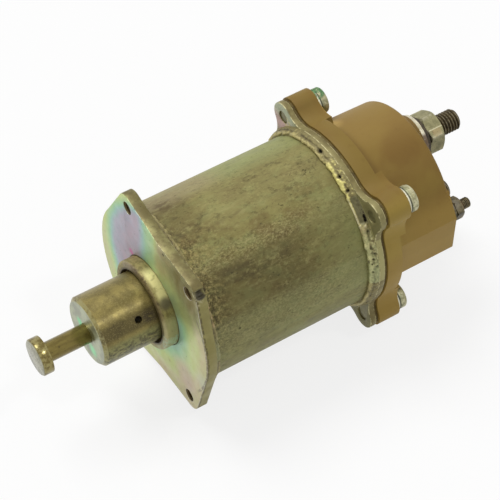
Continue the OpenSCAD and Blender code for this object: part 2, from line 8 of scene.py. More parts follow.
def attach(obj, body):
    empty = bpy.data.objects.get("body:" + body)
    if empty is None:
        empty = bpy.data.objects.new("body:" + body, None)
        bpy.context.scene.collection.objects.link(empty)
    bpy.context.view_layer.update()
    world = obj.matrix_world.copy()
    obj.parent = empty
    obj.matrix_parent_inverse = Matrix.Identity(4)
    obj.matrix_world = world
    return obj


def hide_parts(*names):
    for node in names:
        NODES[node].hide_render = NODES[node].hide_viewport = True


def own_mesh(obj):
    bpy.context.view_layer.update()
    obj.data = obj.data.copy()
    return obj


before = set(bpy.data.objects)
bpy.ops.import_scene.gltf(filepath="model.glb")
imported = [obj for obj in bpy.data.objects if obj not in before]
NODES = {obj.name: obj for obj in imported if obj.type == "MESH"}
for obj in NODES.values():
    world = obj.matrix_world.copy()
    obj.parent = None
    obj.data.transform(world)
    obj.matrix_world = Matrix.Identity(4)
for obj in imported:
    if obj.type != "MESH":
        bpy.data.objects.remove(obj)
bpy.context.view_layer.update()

MM = 0.001
CENTRE, ALONG = (0, 0, 0), (1, 0, 0)
SAME_PLACE = 1e-6  # metres

# Sizes of the part in millimetres. X counts from the front plate's mounting face, towards the terminals.
ROD_HEAD_FRONT, ROD_HEAD_BACK = -56.8, -52.2
PLUNGER_FRONT = -32.3
PLATE_REAR = 5.0
YOKE_R = 40.0
FLANGE_FRONT = 86.5
CAP_RING_REAR, CAP_BOSS_REAR, CAP_REAR = 98.6, 101.8, 130.0
SCREW_HEAD_FRONT = 103.4
MAIN_NUT_FRONT, MAIN_NUT_REAR, MAIN_STUD_END = 136.3, 144.3, 155.6
LOCK_NUT_FRONT, LOCK_NUT_REAR, CONTROL_NUT_REAR, CONTROL_STUD_END = 132.5, 136.5, 140.5, 145.6
MOUNT_SPOTS = [(19.0, 41.0), (19.0, -41.0), (-28.4, 35.6), (-28.4, -35.6)]
SCREW_SPOT = 33.23  # each cap screw's distance from the axis, across and up
MAIN_SPOT = 23.5  # the main terminals, above and below the axis
CONTROL_SPOT = 27.0  # the control terminals, on either side of it
FLOOR = -47.7

# Threads: radius at the root of the ridge, radius at its crest, pitch.
MOUNT_THREAD = (3.03, 2.6, 1.0)
MAIN_THREAD = (4.25, 5.0, 1.5)
CONTROL_THREAD = (2.125, 2.5, 0.8)
THREAD_STEPS = 28  # in each of its turns

SMOOTH_BELOW = 32  # degrees between two faces


# Shapes

def solid_copy(node, whole_faces=True):
    """A merged copy of a solid, ready to be worked on, with each flat face in one piece unless told otherwise."""
    bm = bmesh.new()
    bm.from_mesh(NODES[node].data)
    bmesh.ops.remove_doubles(bm, verts=bm.verts, dist=SAME_PLACE)
    if whole_faces:
        bmesh.ops.dissolve_limit(bm, angle_limit=math.radians(0.5), verts=bm.verts, edges=bm.edges)
    return bm


def break_edges(bm, width, sharper=30, segments=2):
    """Rounds the edges sharper than an angle, by width, and marks the new faces for the finishes: chips on some
    parts, painted edge highlights on others.
    """
    wear_and_shading = bm.faces.layers.float.new("wear")
    edges = [e for e in bm.edges if e.is_manifold and e.calc_face_angle() > math.radians(sharper)]
    made = bmesh.ops.bevel(
        bm, geom=edges, offset=width * MM, offset_type="OFFSET", segments=segments, profile=0.5,
        affect="EDGES", material=-1, clamp_overlap=True)
    for face in made["faces"]:
        face[wear_and_shading] = 1


def section(bm, points):
    """A closed line through points (x, radius), ready to be spun about X."""
    corners = [bm.verts.new((x * MM, r * MM, 0)) for x, r in points]
    return corners + [bm.edges.new((corners[i], corners[(i + 1) % len(corners)])) for i in range(len(corners))]


def full_turn(bm, points, steps):
    """A closed ring about X with the given section."""
    bmesh.ops.spin(bm, geom=section(bm, points), cent=CENTRE, axis=ALONG, dvec=(0, 0, 0),
                   angle=math.tau, steps=steps, use_merge=True, use_duplicate=False)


def pull_in(v, spot, most):
    """Brings a vertex no further out than most from the line along X through spot."""
    out = Vector((v.co.y - spot[0] * MM, v.co.z - spot[1] * MM))
    if out.length > most * MM:
        out = out.normalized() * most * MM
        v.co.y, v.co.z = spot[0] * MM + out.x, spot[1] * MM + out.y


def ridge(bm, x_from, x_to, thread, spot):
    """A thread's ridge wound about the line along X through spot, cut square at both ends."""
    root, crest, pitch = thread
    wound = bmesh.new()
    first = x_from - pitch
    points = [(first + part * pitch, r) for part, r in ((0.02, root), (0.40, crest), (0.55, crest), (0.94, root))]
    turns = math.ceil((x_to - x_from) / pitch) + 2
    bmesh.ops.spin(
        wound, geom=section(wound, points), cent=CENTRE, axis=ALONG, dvec=(pitch / THREAD_STEPS * MM, 0, 0),
        angle=turns * math.tau, steps=turns * THREAD_STEPS, use_merge=False, use_duplicate=False)
    for x, way in ((x_from, -1), (x_to, 1)):
        bmesh.ops.bisect_plane(
            wound, geom=wound.verts[:] + wound.edges[:] + wound.faces[:], plane_co=(x * MM, 0, 0),
            plane_no=(way, 0, 0), clear_outer=True)
    bmesh.ops.holes_fill(wound, edges=[e for e in wound.edges if e.is_boundary], sides=0)
    bmesh.ops.recalc_face_normals(wound, faces=wound.faces)
    bmesh.ops.translate(wound, verts=wound.verts, vec=(0, spot[0] * MM, spot[1] * MM))
    held = bpy.data.meshes.new("ridge")
    wound.to_mesh(held)
    wound.free()
    bm.from_mesh(held)
    bpy.data.meshes.remove(held)


def piece(name, node, bm, body, finish, smooth_below=SMOOTH_BELOW):
    """Makes the finished piece that stands for a solid, and says what it rides on."""
    mesh = bpy.data.meshes.new(name)
    bm.to_mesh(mesh)
    bm.free()
    mesh.polygons.foreach_set("use_smooth", [True] * len(mesh.polygons))
    mesh.set_sharp_from_angle(angle=math.radians(smooth_below))
    mesh.materials.append(finish)
    made = bpy.data.objects.new(name, mesh)
    bpy.context.scene.collection.objects.link(made)
    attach(made, body)
    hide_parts(node)
    return made


def softened(name, node, width, body, finish, sharper=30, segments=2):
    """A solid with its sharp edges broken."""
    bm = solid_copy(node)
    break_edges(bm, width, sharper, segments)
    piece(name, node, bm, body, finish)


def sprung(name, node, body, finish):
    """A spring copied from its solid, given a mesh of its own and carried by its body."""
    made = piece(name, node, solid_copy(node), body, finish, smooth_below=60)
    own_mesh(made)


def front_plate(finish):
    """The plate with broken edges and a thread in each mounting hole."""
    bm = solid_copy("front_plate")
    break_edges(bm, 0.35)
    lead_in = 0.5
    for spot in MOUNT_SPOTS:
        ridge(bm, lead_in, PLATE_REAR - lead_in, MOUNT_THREAD, spot)
    piece("tapped_plate", "front_plate", bm, "housing", finish)


def threaded_stud(name, node, x_from, x_to, thread, spot, finish):
    """A terminal whose free end is cut back to its core and given its thread, with a chamfered tip."""
    core, crest, pitch = thread
    rooted, short, chamfer = 0.05, 0.1, crest / 6
    bm = solid_copy(node, whole_faces=False)
    for v in bm.verts:
        if v.co.x > (x_from - 0.01) * MM:
            pull_in(v, spot, core)
    bmesh.ops.dissolve_degenerate(bm, edges=bm.edges, dist=SAME_PLACE)
    bmesh.ops.recalc_face_normals(bm, faces=bm.faces)
    before = len(bm.verts)
    ridge(bm, x_from, x_to - short, (core - rooted, crest, pitch), spot)
    bm.verts.ensure_lookup_table()
    for v in bm.verts[before:]:
        pull_in(v, spot, crest - max(0, v.co.x / MM - (x_to - chamfer)))
    piece(name, node, bm, "housing", finish)


def bead(name, node, x, way, legs, finish, marks, flats, waver, seed):
    """A welded bead in the corner at x: a wandering crest, a furrow beside it, and marks raised or sunk in it.

    legs are its reach along the tube and out from it. Each mark is (turn in degrees, part of the way from
    tube to flange, half width, lift); each flat is (turn from, turn to) where the bead was ground off."""
    bm = bmesh.new()
    shine = bm.verts.layers.float.new("wear")
    rounds, steps, buried = 26, 600, 0.3
    quarter = [math.radians(90 * i / (rounds - 1)) for i in range(rounds)]
    full_turn(bm, [(x, YOKE_R - buried)] + [
        (x + way * legs[0] * math.cos(angle), YOKE_R + legs[1] * math.sin(angle)) for angle in quarter], steps)
    bmesh.ops.remove_doubles(bm, verts=bm.verts, dist=SAME_PLACE)
    for v in bm.verts:
        along, rise = abs(v.co.x / MM - x), math.hypot(v.co.y, v.co.z) / MM - YOKE_R
        if rise < -0.1:
            continue
        turn = math.atan2(v.co.z, v.co.y)
        part = math.atan2(rise / legs[1], along / legs[0]) / (math.pi / 2)
        ring = Vector((math.cos(turn), math.sin(turn), seed))
        crest = 0.24 + 0.12 * noise.noise(ring * 3) + 0.10 * noise.noise(ring * 11)
        wide = 0.20 + 0.10 * noise.noise(ring * 6 + Vector((0, 0, 4)))
        furrow = crest + 0.34 + 0.10 * noise.noise(ring * 8 + Vector((0, 0, 9)))
        ripple = math.sin(turn * YOKE_R / 0.42 + 3.6 * math.sin(math.pi * part) + 7 * noise.noise(ring * 7))
        lump = noise.noise(ring * 42 + Vector((0, 0, part * 5)))
        grain = noise.noise(ring * 95 + Vector((0, 0, part * 9)))
        lift = waver * (
            0.60 * math.exp(-((part - crest) / wide) ** 2) * (1 + 0.9 * noise.noise(ring * 16))
            - 0.35 * math.exp(-((part - furrow) / 0.08) ** 2) * (1 + 2 * noise.noise(ring * 10))
            + 0.06 * ripple + 0.42 * lump + 0.16 * grain - 0.10)
        for mark_turn, mark_part, half, mark_lift in marks:
            off = ((turn - math.radians(mark_turn) + math.pi) % math.tau - math.pi) * (YOKE_R + 1.5)
            off = math.hypot(off, (part - mark_part) * (legs[0] + legs[1]) * math.pi / 4) / half
            lift += mark_lift * math.exp(-off ** 2 * 2.2) if off < 2 else 0
        shade = lift
        for start, end in flats:
            degrees = math.degrees(turn)
            inside = min(1, max(0, (degrees - start) / 2.5)) * min(1, max(0, (end - degrees) / 0.8))
            brim = 0.9 * math.exp(-((part - 0.10) / 0.12) ** 2)
            chord = legs[0] * (1 / (math.cos(part * math.pi / 2) + math.sin(part * math.pi / 2)) - 1)
            sunk = min(lift, 0) if part > 0.7 else 0
            lift += inside * (chord + 0.45 * brim + 0.3 * waver * lump + sunk - lift)
            shade += inside * (-0.25 + brim + 0.3 * lump + sunk - shade)
        fade = min(1, 7 * min(part, 1 - part) + 0.05)
        # The finish paints light and shade from this value: crests lighter, sunk places darker.
        v[shine] = shade * min(1, 2 * fade)
        scale = max(0.3, 1 + lift * fade / legs[0])
        out = YOKE_R + min(rise * scale, legs[1] + 0.1)
        v.co = Vector((x + way * along * scale, out * math.cos(turn), out * math.sin(turn))) * MM
    bmesh.ops.recalc_face_normals(bm, faces=bm.faces)
    piece(name, node, bm, "housing", finish, smooth_below=60)


def hexagon_nuts(name, node, x_from, x_to, width, bore, spots, finish):
    """Nuts spun as rings, drawn out to six flats and chamfered at both faces.

    Each spot is (y, z, the turn of one corner in degrees)."""
    bm = bmesh.new()
    wear_and_shading = bm.verts.layers.float.new("wear")
    flat, blank, lead_in = width / 2, width / 1.6, 0.6
    brim, sixth = 0.95 * flat, math.pi / 3
    for y, z, corner in spots:
        full_turn(bm, [
            (x_from + lead_in, bore), (x_from, bore + lead_in), (x_from, brim), (x_from + 1, blank),
            (x_to - 1, blank), (x_to, brim), (x_to, bore + lead_in), (x_to - lead_in, bore)], 72)
        ring = [v for v in bm.verts if not v.tag]
        for v in ring:
            v.tag = True
            r, turn = math.hypot(v.co.y, v.co.z), math.atan2(v.co.z, v.co.y)
            if r > 1.1 * flat * MM:
                reach = flat / math.cos((turn + sixth / 2) % sixth - sixth / 2)
                fall = (reach - brim) * 0.56
                v.co.x = (x_from + fall if v.co.x < (x_from + x_to) / 2 * MM else x_to - fall) * MM
                v.co.y, v.co.z = reach * math.cos(turn) * MM, reach * math.sin(turn) * MM
                v[wear_and_shading] = max(0, (reach / flat - 1.08) / 0.075)
            elif r > 0.9 * flat * MM:
                v[wear_and_shading] = 0.6
        bmesh.ops.rotate(bm, verts=ring, cent=CENTRE, matrix=Matrix.Rotation(math.radians(corner - 30), 3, "X"))
        bmesh.ops.translate(bm, verts=ring, vec=(0, y * MM, z * MM))
    bmesh.ops.remove_doubles(bm, verts=bm.verts, dist=SAME_PLACE)
    bmesh.ops.recalc_face_normals(bm, faces=bm.faces)
    piece(name, node, bm, "housing", finish, smooth_below=24)


def cap_screws(finish):
    """The cap's screws, each left at its own turn, their ends set back in the flange and their edges broken."""
    bm = solid_copy("cap_screws")
    set_back = 0.6
    for side, up, turn in ((1, 1, -8), (-1, 1, 83), (-1, -1, 6), (1, -1, 71)):
        own = [v for v in bm.verts if v.co.y * side > 0 and v.co.z * up > 0]
        bmesh.ops.rotate(bm, verts=own, cent=(0, side * SCREW_SPOT * MM, up * SCREW_SPOT * MM),
                         matrix=Matrix.Rotation(math.radians(turn), 3, "X"))
    for v in bm.verts:
        if v.co.x < (FLANGE_FRONT + 0.2) * MM:
            v.co.x += set_back * MM
    break_edges(bm, 0.18, 40)
    piece("slotted_screws", "cap_screws", bm, "housing", finish)


# Finishes

def tone(red, green, blue):
    """A colour given as it looks on a screen, 0 to 255, turned into what the shader wants."""
    def level(c):
        c /= 255
        return c / 12.92 if c <= 0.04045 else ((c + 0.055) / 1.055) ** 2.4
    return (level(red), level(green), level(blue), 1)


class Reading:
    """A value inside a finish. Sums with it add Math nodes."""

    def __init__(self, finish, socket):
        self.finish, self.socket = finish, socket

    def __add__(self, other):
        return self.finish.sum("ADD", self, other)

    def __radd__(self, other):
        return self.finish.sum("ADD", other, self)

    def __sub__(self, other):
        return self.finish.sum("SUBTRACT", self, other)

    def __rsub__(self, other):
        return self.finish.sum("SUBTRACT", other, self)

    def __mul__(self, other):
        return self.finish.sum("MULTIPLY", self, other)

    def __rmul__(self, other):
        return self.finish.sum("MULTIPLY", other, self)

    def __pow__(self, other):
        return self.finish.sum("POWER", self, other)

    def __rpow__(self, other):
        return self.finish.sum("POWER", other, self)

    def other(self, output):
        """Another output of the node that gave this value."""
        return Reading(self.finish, self.socket.node.outputs[output])


class Nodes:
    """A tree of shader nodes in the making."""

    def __init__(self, tree):
        self.tree = tree
        tree.nodes.clear()

    def add(self, kind, settings=None, sockets=None, out=0):
        """One node: its settings first, then the value or link of each socket."""
        node = self.tree.nodes.new("ShaderNode" + kind)
        for name, value in (settings or {}).items():
            if name == "stops":
                ramp = node.color_ramp
                while len(ramp.elements) < len(value):
                    ramp.elements.new(0.5)
                for stop, (spot, colour) in zip(ramp.elements, value):
                    stop.position, stop.color = spot, colour
            else:
                setattr(node, name, value)
        for name, value in (sockets or {}).items():
            if isinstance(value, Reading):
                self.tree.links.new(value.socket, node.inputs[name])
            else:
                node.inputs[name].default_value = value
        return Reading(self, node.outputs[out] if node.outputs else None)

    def sum(self, operation, *values):
        """A Math node's result."""
        return self.add("Math", {"operation": operation}, dict(enumerate(values)))

    def clamp(self, value):
        """A value held between 0 and 1."""
        return self.sum("MINIMUM", self.sum("MAXIMUM", value, 0.0), 1.0)

    def looked_at(self):
        """1 for the camera, a reflection and a view through glass, 0 for the light that is given back."""
        seen = self.add("LightPath", out="Is Camera Ray")
        return self.clamp(seen + seen.other("Is Glossy Ray") + seen.other("Is Transmission Ray"))


class Finish(Nodes):
    """A node material in the making. Places are read in millimetres of the part's frame."""

    def __init__(self, name):
        self.material = bpy.data.materials.new(name)
        self.material.use_nodes = True
        super().__init__(self.material.node_tree)
        self.place = self.add("VectorMath", {"operation": "SCALE"},
                              {0: self.add("TexCoord", out="Object"), "Scale": 1 / MM})
        self.x = self.add("SeparateXYZ", sockets={0: self.place})
        self.y, self.z = self.x.other(1), self.x.other(2)
        self.radius = self.off_line(0, 0)
        self.turn = self.turn_about(0)
        self.wear_and_shading = self.add("Attribute", {"attribute_name": "wear"}, out="Fac")

    def off_line(self, y, z):
        """How far out a place is from the line along X through (y, z)."""
        across, up = self.y - y, self.z - z
        return (across * across + up * up) ** 0.5

    def turn_about(self, z):
        """The turn of a place, in degrees, about the line along X at height z: 0 at +Y, 90 at the top."""
        return self.sum("ARCTAN2", self.z - z, self.y) * (180 / math.pi)

    def step(self, value, low, high):
        """0 below low, 1 above high, smooth between; the other way round where low is above high."""
        if low > high:
            return 1 - self.step(value, high, low)
        return self.add("MapRange", {"interpolation_type": "SMOOTHSTEP"}, {0: value, 1: low, 2: high})

    def moved(self, size, stretch, seed):
        """The place in units of size, stretched, and shifted by a seed."""
        steps = tuple(1 / (size * s) for s in stretch)
        return self.add("VectorMath", {"operation": "MULTIPLY_ADD"},
                        {0: self.place, 1: steps, 2: (seed * 7.31, seed * 3.7, seed * 5.13)})

    def cloud(self, size, detail=3, rough=0.55, stretch=(1, 1, 1), seed=0):
        """Patches about size across, from 0 to 1."""
        return self.add("TexNoise", sockets={
            "Vector": self.moved(size, stretch, seed), "Scale": 1, "Detail": detail, "Roughness": rough})

    def dots(self, size, share, spread, seed):
        """Separate round specks, one in each cell of the given size, in that share of the cells."""
        far = self.add("TexVoronoi", sockets={"Vector": self.moved(size, (1, 1, 1), seed), "Scale": 1})
        chosen = self.step(self.add("SeparateColor", sockets={0: far.other("Color")}), share + 0.02, share)
        return self.step(far, spread, spread * 0.5) * chosen

    def near(self, spot, reach, soft=0.5):
        """1 round a spot, falling to 0 at reach over the soft share of it."""
        far = self.add("VectorMath", {"operation": "DISTANCE"}, {0: self.place, 1: spot}, out="Value")
        return self.step(far, reach, reach * (1 - soft))

    def band(self, value, middle, half, soft):
        """1 within half of the middle, 0 past soft more."""
        return self.step(self.sum("ABSOLUTE", value - middle), half + soft, half)

    def mix(self, mask, under, over):
        """under where the mask is 0, over where it is 1. Each is a reading, or red, green and blue as for tone."""
        under, over = (c if isinstance(c, Reading) else tone(*c) for c in (under, over))
        return self.add("Mix", {"data_type": "RGBA"}, {0: mask, 6: under, 7: over}, out=2)

    def lay(self, mask, colour):
        """Lays a colour over those before it, as far as the mask lets it."""
        self.colour = self.mix(mask, self.colour, colour)

    def ramp(self, value, stops):
        """The colour of a value, from stops (value, colour as for tone)."""
        return self.add("ValToRGB", {"stops": [(spot, tone(*colour)) for spot, colour in stops]}, {0: value})

    def bump(self, height, depth):
        """Relief of the given depth in millimetres."""
        return self.add("Bump", sockets={"Height": height, "Distance": depth * MM})

    def close(self, rough, metal, normal, **set_values):
        """Joins the readings to the shader and gives back the material."""
        sockets = {"Base Color": self.colour, "Roughness": rough, "Metallic": metal, "Normal": normal, **set_values}
        self.add("OutputMaterial", sockets={"Surface": self.add("BsdfPrincipled", sockets=sockets)})
        return self.material


def yoke_finish():
    """Yellow zinc on drawn tube: matt olive, mottled, scuffed lengthways and finely pitted, with painted light on
    its top and underside, a painted sheen along its upper edge and painted shade along its -Y flank.
    """
    f = Finish("yoke_zinc")
    broad = f.cloud(17, 4, 0.6, (1.5, 1, 1), 2)
    streaks = f.cloud(2.6, 4, 0.65, (5, 1, 1), 1)
    blots = f.cloud(3.2, 5, 0.7, (1.5, 1, 1), 9)
    fine = f.cloud(1.1, 4, 0.75, (1.5, 1, 1), 3)
    f.colour = f.mix(f.step(broad, 0.36, 0.64), (110, 100, 56), (133, 126, 74))
    middling = f.cloud(6.5, 5, 0.65, (1.6, 1, 1), 15)
    f.lay(f.step(middling, 0.50, 0.64) * 0.5, (132, 136, 84))
    f.lay(f.step(middling, 0.50, 0.36) * 0.5, (104, 84, 48))
    # Painted light: the top of the tube lighter.
    top = f.band(f.turn, 72, 18, 26) * f.step(f.x, 18, 34)
    f.lay(top * 0.45, (142, 136, 86))
    # Painted shade along the flank towards -Y, weaker towards the rear.
    shade = f.band(f.turn, 142, 12, 18)
    f.lay(shade * (0.5 - 0.3 * f.step(f.x, 48, 68)), (86, 78, 44))
    corner = f.band(f.turn, 80, 14, 12) * f.step(f.x, 32, 14)
    f.lay(corner * 0.6, (92, 80, 44))
    brown = f.band(f.turn, 134, 5, 9) * f.step(f.x, 4, 22) * f.step(f.x, 58, 40)
    brown = brown * f.step(f.cloud(6, 4, 0.6, (2.4, 1, 1), 4), 0.40, 0.62)
    f.lay(brown * 0.6, (66, 54, 32))
    f.lay(f.step(streaks, 0.53, 0.72) * 0.35, (158, 150, 100))
    f.lay(f.step(streaks, 0.45, 0.30) * 0.3, (80, 70, 40))
    f.lay(f.step(blots, 0.54, 0.66) * 0.4, (150, 144, 94))
    f.lay(f.step(blots, 0.46, 0.34) * 0.55, (72, 62, 34))
    burnt = f.step(f.cloud(7, 4, 0.65, seed=11), 0.52, 0.66) * f.step(f.x, 40, 12)
    f.lay(burnt * 0.5, (84, 66, 34))
    spatter = f.step(f.x, 22, 6) * f.band(f.turn, 136, 28, 14)
    grit = f.cloud(1.7, 5, 0.75, seed=13)
    f.lay(spatter * f.step(grit, 0.52, 0.58) * 0.7, (176, 160, 104))
    f.lay(spatter * f.step(grit, 0.48, 0.42) * 0.75, (58, 46, 26))
    grain = f.cloud(0.75, 4, 0.75, (1.5, 1, 1), 14)
    sandy = f.band(f.turn, 119, 3, 6) * f.step(f.x, 4, 9) * (1 - 0.5 * f.step(f.x, 50, 70))
    low = f.band(f.turn, 168, 8, 8)
    gritty = f.clamp(sandy + low)
    f.lay(gritty * f.step(grain, 0.49, 0.60) * 0.42, (174, 164, 114))
    f.lay(gritty * f.step(grain, 0.47, 0.38) * 0.48, (76, 68, 40))
    # Painted light: the underside lighter, as from the pale floor below.
    under = f.step(f.turn, 150, 162) + f.step(f.turn, -90, -130)
    f.lay(f.clamp(under) * 0.35, (142, 146, 98))
    # Painted sheen along the upper edge, pinkish at the front and greenish further back.
    crown = f.band(f.turn, 50, 12, 14)
    sheen = f.mix(f.step(f.x, 34, 50), (172, 160, 122), (158, 168, 112))
    f.lay(crown * 0.45, sheen)
    green = f.step(f.x, 56, 80) * f.step(f.turn, 96, 136)
    f.lay(green * 0.4, (138, 142, 90))
    grainy = 0.25 + 0.75 * f.step(f.cloud(11, 3, 0.55, (1.5, 1, 1), 16), 0.40, 0.60)
    f.lay(f.step(fine, 0.53, 0.66) * grainy * 0.34, (172, 164, 106))
    f.lay(f.step(fine, 0.46, 0.34) * grainy * 0.42, (66, 58, 32))
    pits = f.step(f.cloud(1.5, 5, 0.75, (1.6, 1, 1), 7), 0.62, 0.67)
    cluster = f.near((74.8, -1.5, 40), 8, 0.8) * f.step(f.cloud(1.6, 4, 0.7, seed=8), 0.54, 0.62)
    seam = f.step(f.x, 16, 6) * f.step(f.cloud(1.8, 5, 0.75, seed=10), 0.52, 0.6)
    spot = f.near((18.7, -38.6, 10.7), 0.8, 0.4)
    smudge = f.near((14.8, 15.1, 37.1), 6, 0.6) * f.step(f.cloud(2.4, 4, 0.65, (2, 1, 1), 12), 0.42, 0.56)
    f.lay(smudge * 0.6, (78, 60, 32))
    pits = f.clamp(pits + cluster + spot + 0.7 * seam)
    f.lay(pits * 0.65, (48, 42, 24))
    rough = 0.50 + 0.16 * f.step(streaks, 0.3, 0.7) + 0.1 * pits
    normal = f.bump(0.6 * streaks + 0.8 * blots + 0.3 * fine - 0.5 * pits + 1.2 * spatter * grit, 0.08)
    return f.close(rough, 0.3, normal, **{"Specular IOR Level": 0.3})


def plate_finish():
    """Yellow zinc on the front plate, with the rainbow film its mounting face shows, painted shadow in its notch
    and a painted highlight below it.
    """
    f = Finish("plate_zinc")
    wander = 0.22 * (f.cloud(13, 3, 0.55, seed=1) - 0.5) + 0.08 * (f.cloud(3, 3, 0.6, seed=18) - 0.5)
    out = f.off_line(-6, 10)
    upper = 0.14 + 0.12 * f.step(out, 23, 31) + 0.58 * f.step(out, 36, 48.5)
    upper = f.sum("MAXIMUM", upper, 0.24 + 0.36 * f.step(f.y, 13, 2))
    lower = 0.50 + 0.30 * f.step(f.radius, 21.5, 33) + 0.14 * f.step(f.radius, 33, 40)
    left = f.step(f.y, -8, 1)
    film = lower * (1 - left) + upper * left + wander
    rainbow = f.ramp(film, [
        (0.0, (170, 140, 130)), (0.14, (194, 162, 170)), (0.28, (176, 174, 186)), (0.42, (160, 196, 186)),
        (0.54, (164, 206, 160)), (0.76, (200, 214, 142)), (0.90, (204, 200, 150)), (1.0, (207, 187, 157))])
    olive = f.band(f.turn, 127, 19, 17) * (0.7 + 0.3 * f.step(f.cloud(10, 3, 0.6, seed=2), 0.3, 0.6))
    rainbow = f.mix(olive * 0.84, rainbow, f.mix(f.step(f.z, 30, 20), (134, 134, 88), (158, 166, 106)))
    drip = f.band(f.turn, 104, 4, 8) * f.step(f.cloud(7, 3, 0.6, seed=21), 0.4, 0.6)
    rainbow = f.mix(drip * 0.6, rainbow, (176, 164, 116))
    rosy = f.near((0, -25, -24), 12, 0.8)
    rainbow = f.mix(rosy * 0.65, rainbow, (206, 178, 158))
    pale = f.near((0, -41, -14), 9, 0.8)
    rainbow = f.mix(pale * 0.5, rainbow, (200, 212, 186))
    gold = f.near((0, -27, 35), 13) * f.step(f.cloud(6, 3, 0.6, (1, 0.6, 1.6), 19), 0.35, 0.6)
    rainbow = f.mix(gold * 0.6, rainbow, (132, 118, 68))
    magenta = f.near((0, 17.2, 14.6), 2.4, 0.7)
    rainbow = f.mix(magenta * 0.85, rainbow, (214, 118, 176))
    dull = f.mix(f.step(f.cloud(8, 4, 0.6, seed=3), 0.35, 0.65), (104, 94, 52), (140, 134, 84))
    face = f.step(f.x, 0.3, 0.02)
    dull = f.mix(f.step(f.cloud(1.5, 5, 0.75, seed=27), 0.50, 0.62) * 0.45, dull, (88, 78, 44))
    f.colour = f.mix(face, dull, rainbow)
    smoke = f.step(f.cloud(3.2, 5, 0.7, seed=4), 0.55, 0.75)
    f.lay(smoke * 0.3, (120, 112, 74))
    chips = f.cloud(2.2, 4, 0.7, seed=5)
    lower_edge = f.step(f.z, 42, 36) * f.step(f.y, -20, -26)
    f.lay(f.wear_and_shading * f.step(chips, 0.52, 0.62) * (0.6 - 0.2 * lower_edge), (196, 196, 156))
    f.lay(f.wear_and_shading * f.step(chips, 0.50, 0.42) * 0.7, (74, 66, 38))
    bevel = f.wear_and_shading * lower_edge * f.step(f.x, 0.6, 0.5)
    f.lay(bevel * f.step(chips, 0.42, 0.48) * 0.8, (190, 184, 168))
    specks = f.clamp(f.step(f.cloud(1.3, 5, 0.75, seed=6), 0.655, 0.69) + f.dots(3.4, 0.16, 0.10, seed=7))
    f.lay(specks * 0.6, (60, 54, 34))
    rim = f.band(f.radius, 42.9, 0.4, 0.4) * lower_edge * face * f.step(f.z, 28, 24) * f.step(f.z, -26, -20)
    f.lay(rim * f.step(f.cloud(1.8, 4, 0.7, seed=25), 0.60, 0.48) * 0.7, (112, 96, 84))
    side = lower_edge * f.step(f.x, 0.3, 0.6) * f.step(f.radius, 41.6, 42.6)
    f.lay(side * 0.6, (150, 142, 80))
    dark_line = side * f.step(f.x, 1.3, 0.9) * f.step(f.cloud(1.6, 4, 0.7, seed=26), 0.58, 0.46)
    f.lay(dark_line * 0.75, (60, 48, 30))
    # Painted highlight on the rim below the notch.
    lip = f.near((0, -34.2, 37.5), 4.4, 0.4) * f.step(f.cloud(1.2, 4, 0.7, seed=24), 0.44, 0.56)
    f.lay(lip * 0.7, (176, 168, 128))
    # Painted shadow in the notch, laid together with two small dark dents.
    notch = f.near((2.5, -34.2, 39.2), 3.0, 0.4)
    dents = f.near((0, -9.6, 40.5), 0.9, 0.5) + f.near((0.4, -46.7, 0.5), 1.2, 0.5)
    f.lay(f.clamp(notch + dents) * 0.9, (38, 32, 20))
    holes = sum(f.step(f.off_line(y, z), MOUNT_THREAD[0] + 0.27, MOUNT_THREAD[0] + 0.02) for y, z in MOUNT_SPOTS)
    f.lay(f.clamp(holes) * f.step(f.x, 0.1, 0.5) * 0.75, (84, 62, 30))
    rough = 0.36 + 0.2 * f.step(f.cloud(5, 4, 0.6, seed=8), 0.3, 0.7) + 0.1 * specks
    normal = f.bump(f.cloud(1.4, 4, 0.7, seed=9) - 0.6 * specks, 0.05)
    return f.close(rough, 0.4, normal)


def flange_finish():
    """Yellow zinc on the rear flange: olive edge, pale chipped rims with a painted highlight along the lower rim, a
    mint and pink cast on the top lobe.
    """
    f = Finish("flange_zinc")
    f.colour = f.mix(f.step(f.cloud(9, 3, 0.6, seed=11), 0.35, 0.65), (108, 96, 52), (136, 126, 78))
    front = f.step(f.x, FLANGE_FRONT + 0.4, FLANGE_FRONT + 0.1)
    f.lay(front * 0.6, (134, 132, 90))
    lobe = f.near((FLANGE_FRONT, 34, 34), 13, 0.5) * front
    f.lay(lobe * 0.8, f.mix(f.step(f.z, 36, 29), (186, 194, 166), (206, 172, 168)))
    fleck = f.near((FLANGE_FRONT, 30.5, 33), 4, 0.8) * f.step(f.cloud(2, 3, seed=18), 0.48, 0.54)
    f.lay(lobe * fleck, (196, 184, 104))
    f.lay(lobe * f.step(f.cloud(1.4, 4, 0.7, seed=17), 0.6, 0.66), (62, 50, 30))
    f.lay(f.band(f.turn, 150, 22, 14) * 0.4, (156, 150, 100))
    f.lay(f.step(f.cloud(2.6, 5, 0.7, seed=12), 0.5, 0.7) * 0.3, (84, 72, 38))
    hole = (f.sum("ABSOLUTE", f.y) - SCREW_SPOT) ** 2 + (f.sum("ABSOLUTE", f.z) - SCREW_SPOT) ** 2
    edge = f.wear_and_shading * f.step(hole, 13, 18)
    chipped = f.cloud(2.4, 4, 0.7, seed=13)
    # Painted highlight along the lower part of the rim.
    rim = f.band(f.radius, 43.1, 0.3, 0.2) * f.band(f.turn, 155, 28, 8)
    f.lay(rim * 0.6, (176, 170, 112))
    near_lobe = f.near((FLANGE_FRONT, -34, 33), 10, 0.4) * front
    f.lay(near_lobe * 0.25, (98, 90, 54))
    f.lay(edge * f.step(chipped, 0.46, 0.56) * 0.8, (204, 196, 146))
    f.lay(edge * f.step(chipped, 0.48, 0.40) * 0.4, (84, 74, 42))
    specks = f.step(f.cloud(1.1, 5, 0.75, seed=14), 0.64, 0.68)
    f.lay(specks * 0.6, (56, 48, 28))
    normal = f.bump(f.cloud(1.1, 4, 0.7, seed=15) - 0.6 * specks, 0.05)
    return f.close(0.46 + 0.14 * f.cloud(4, 3, seed=16), 0.3, normal)


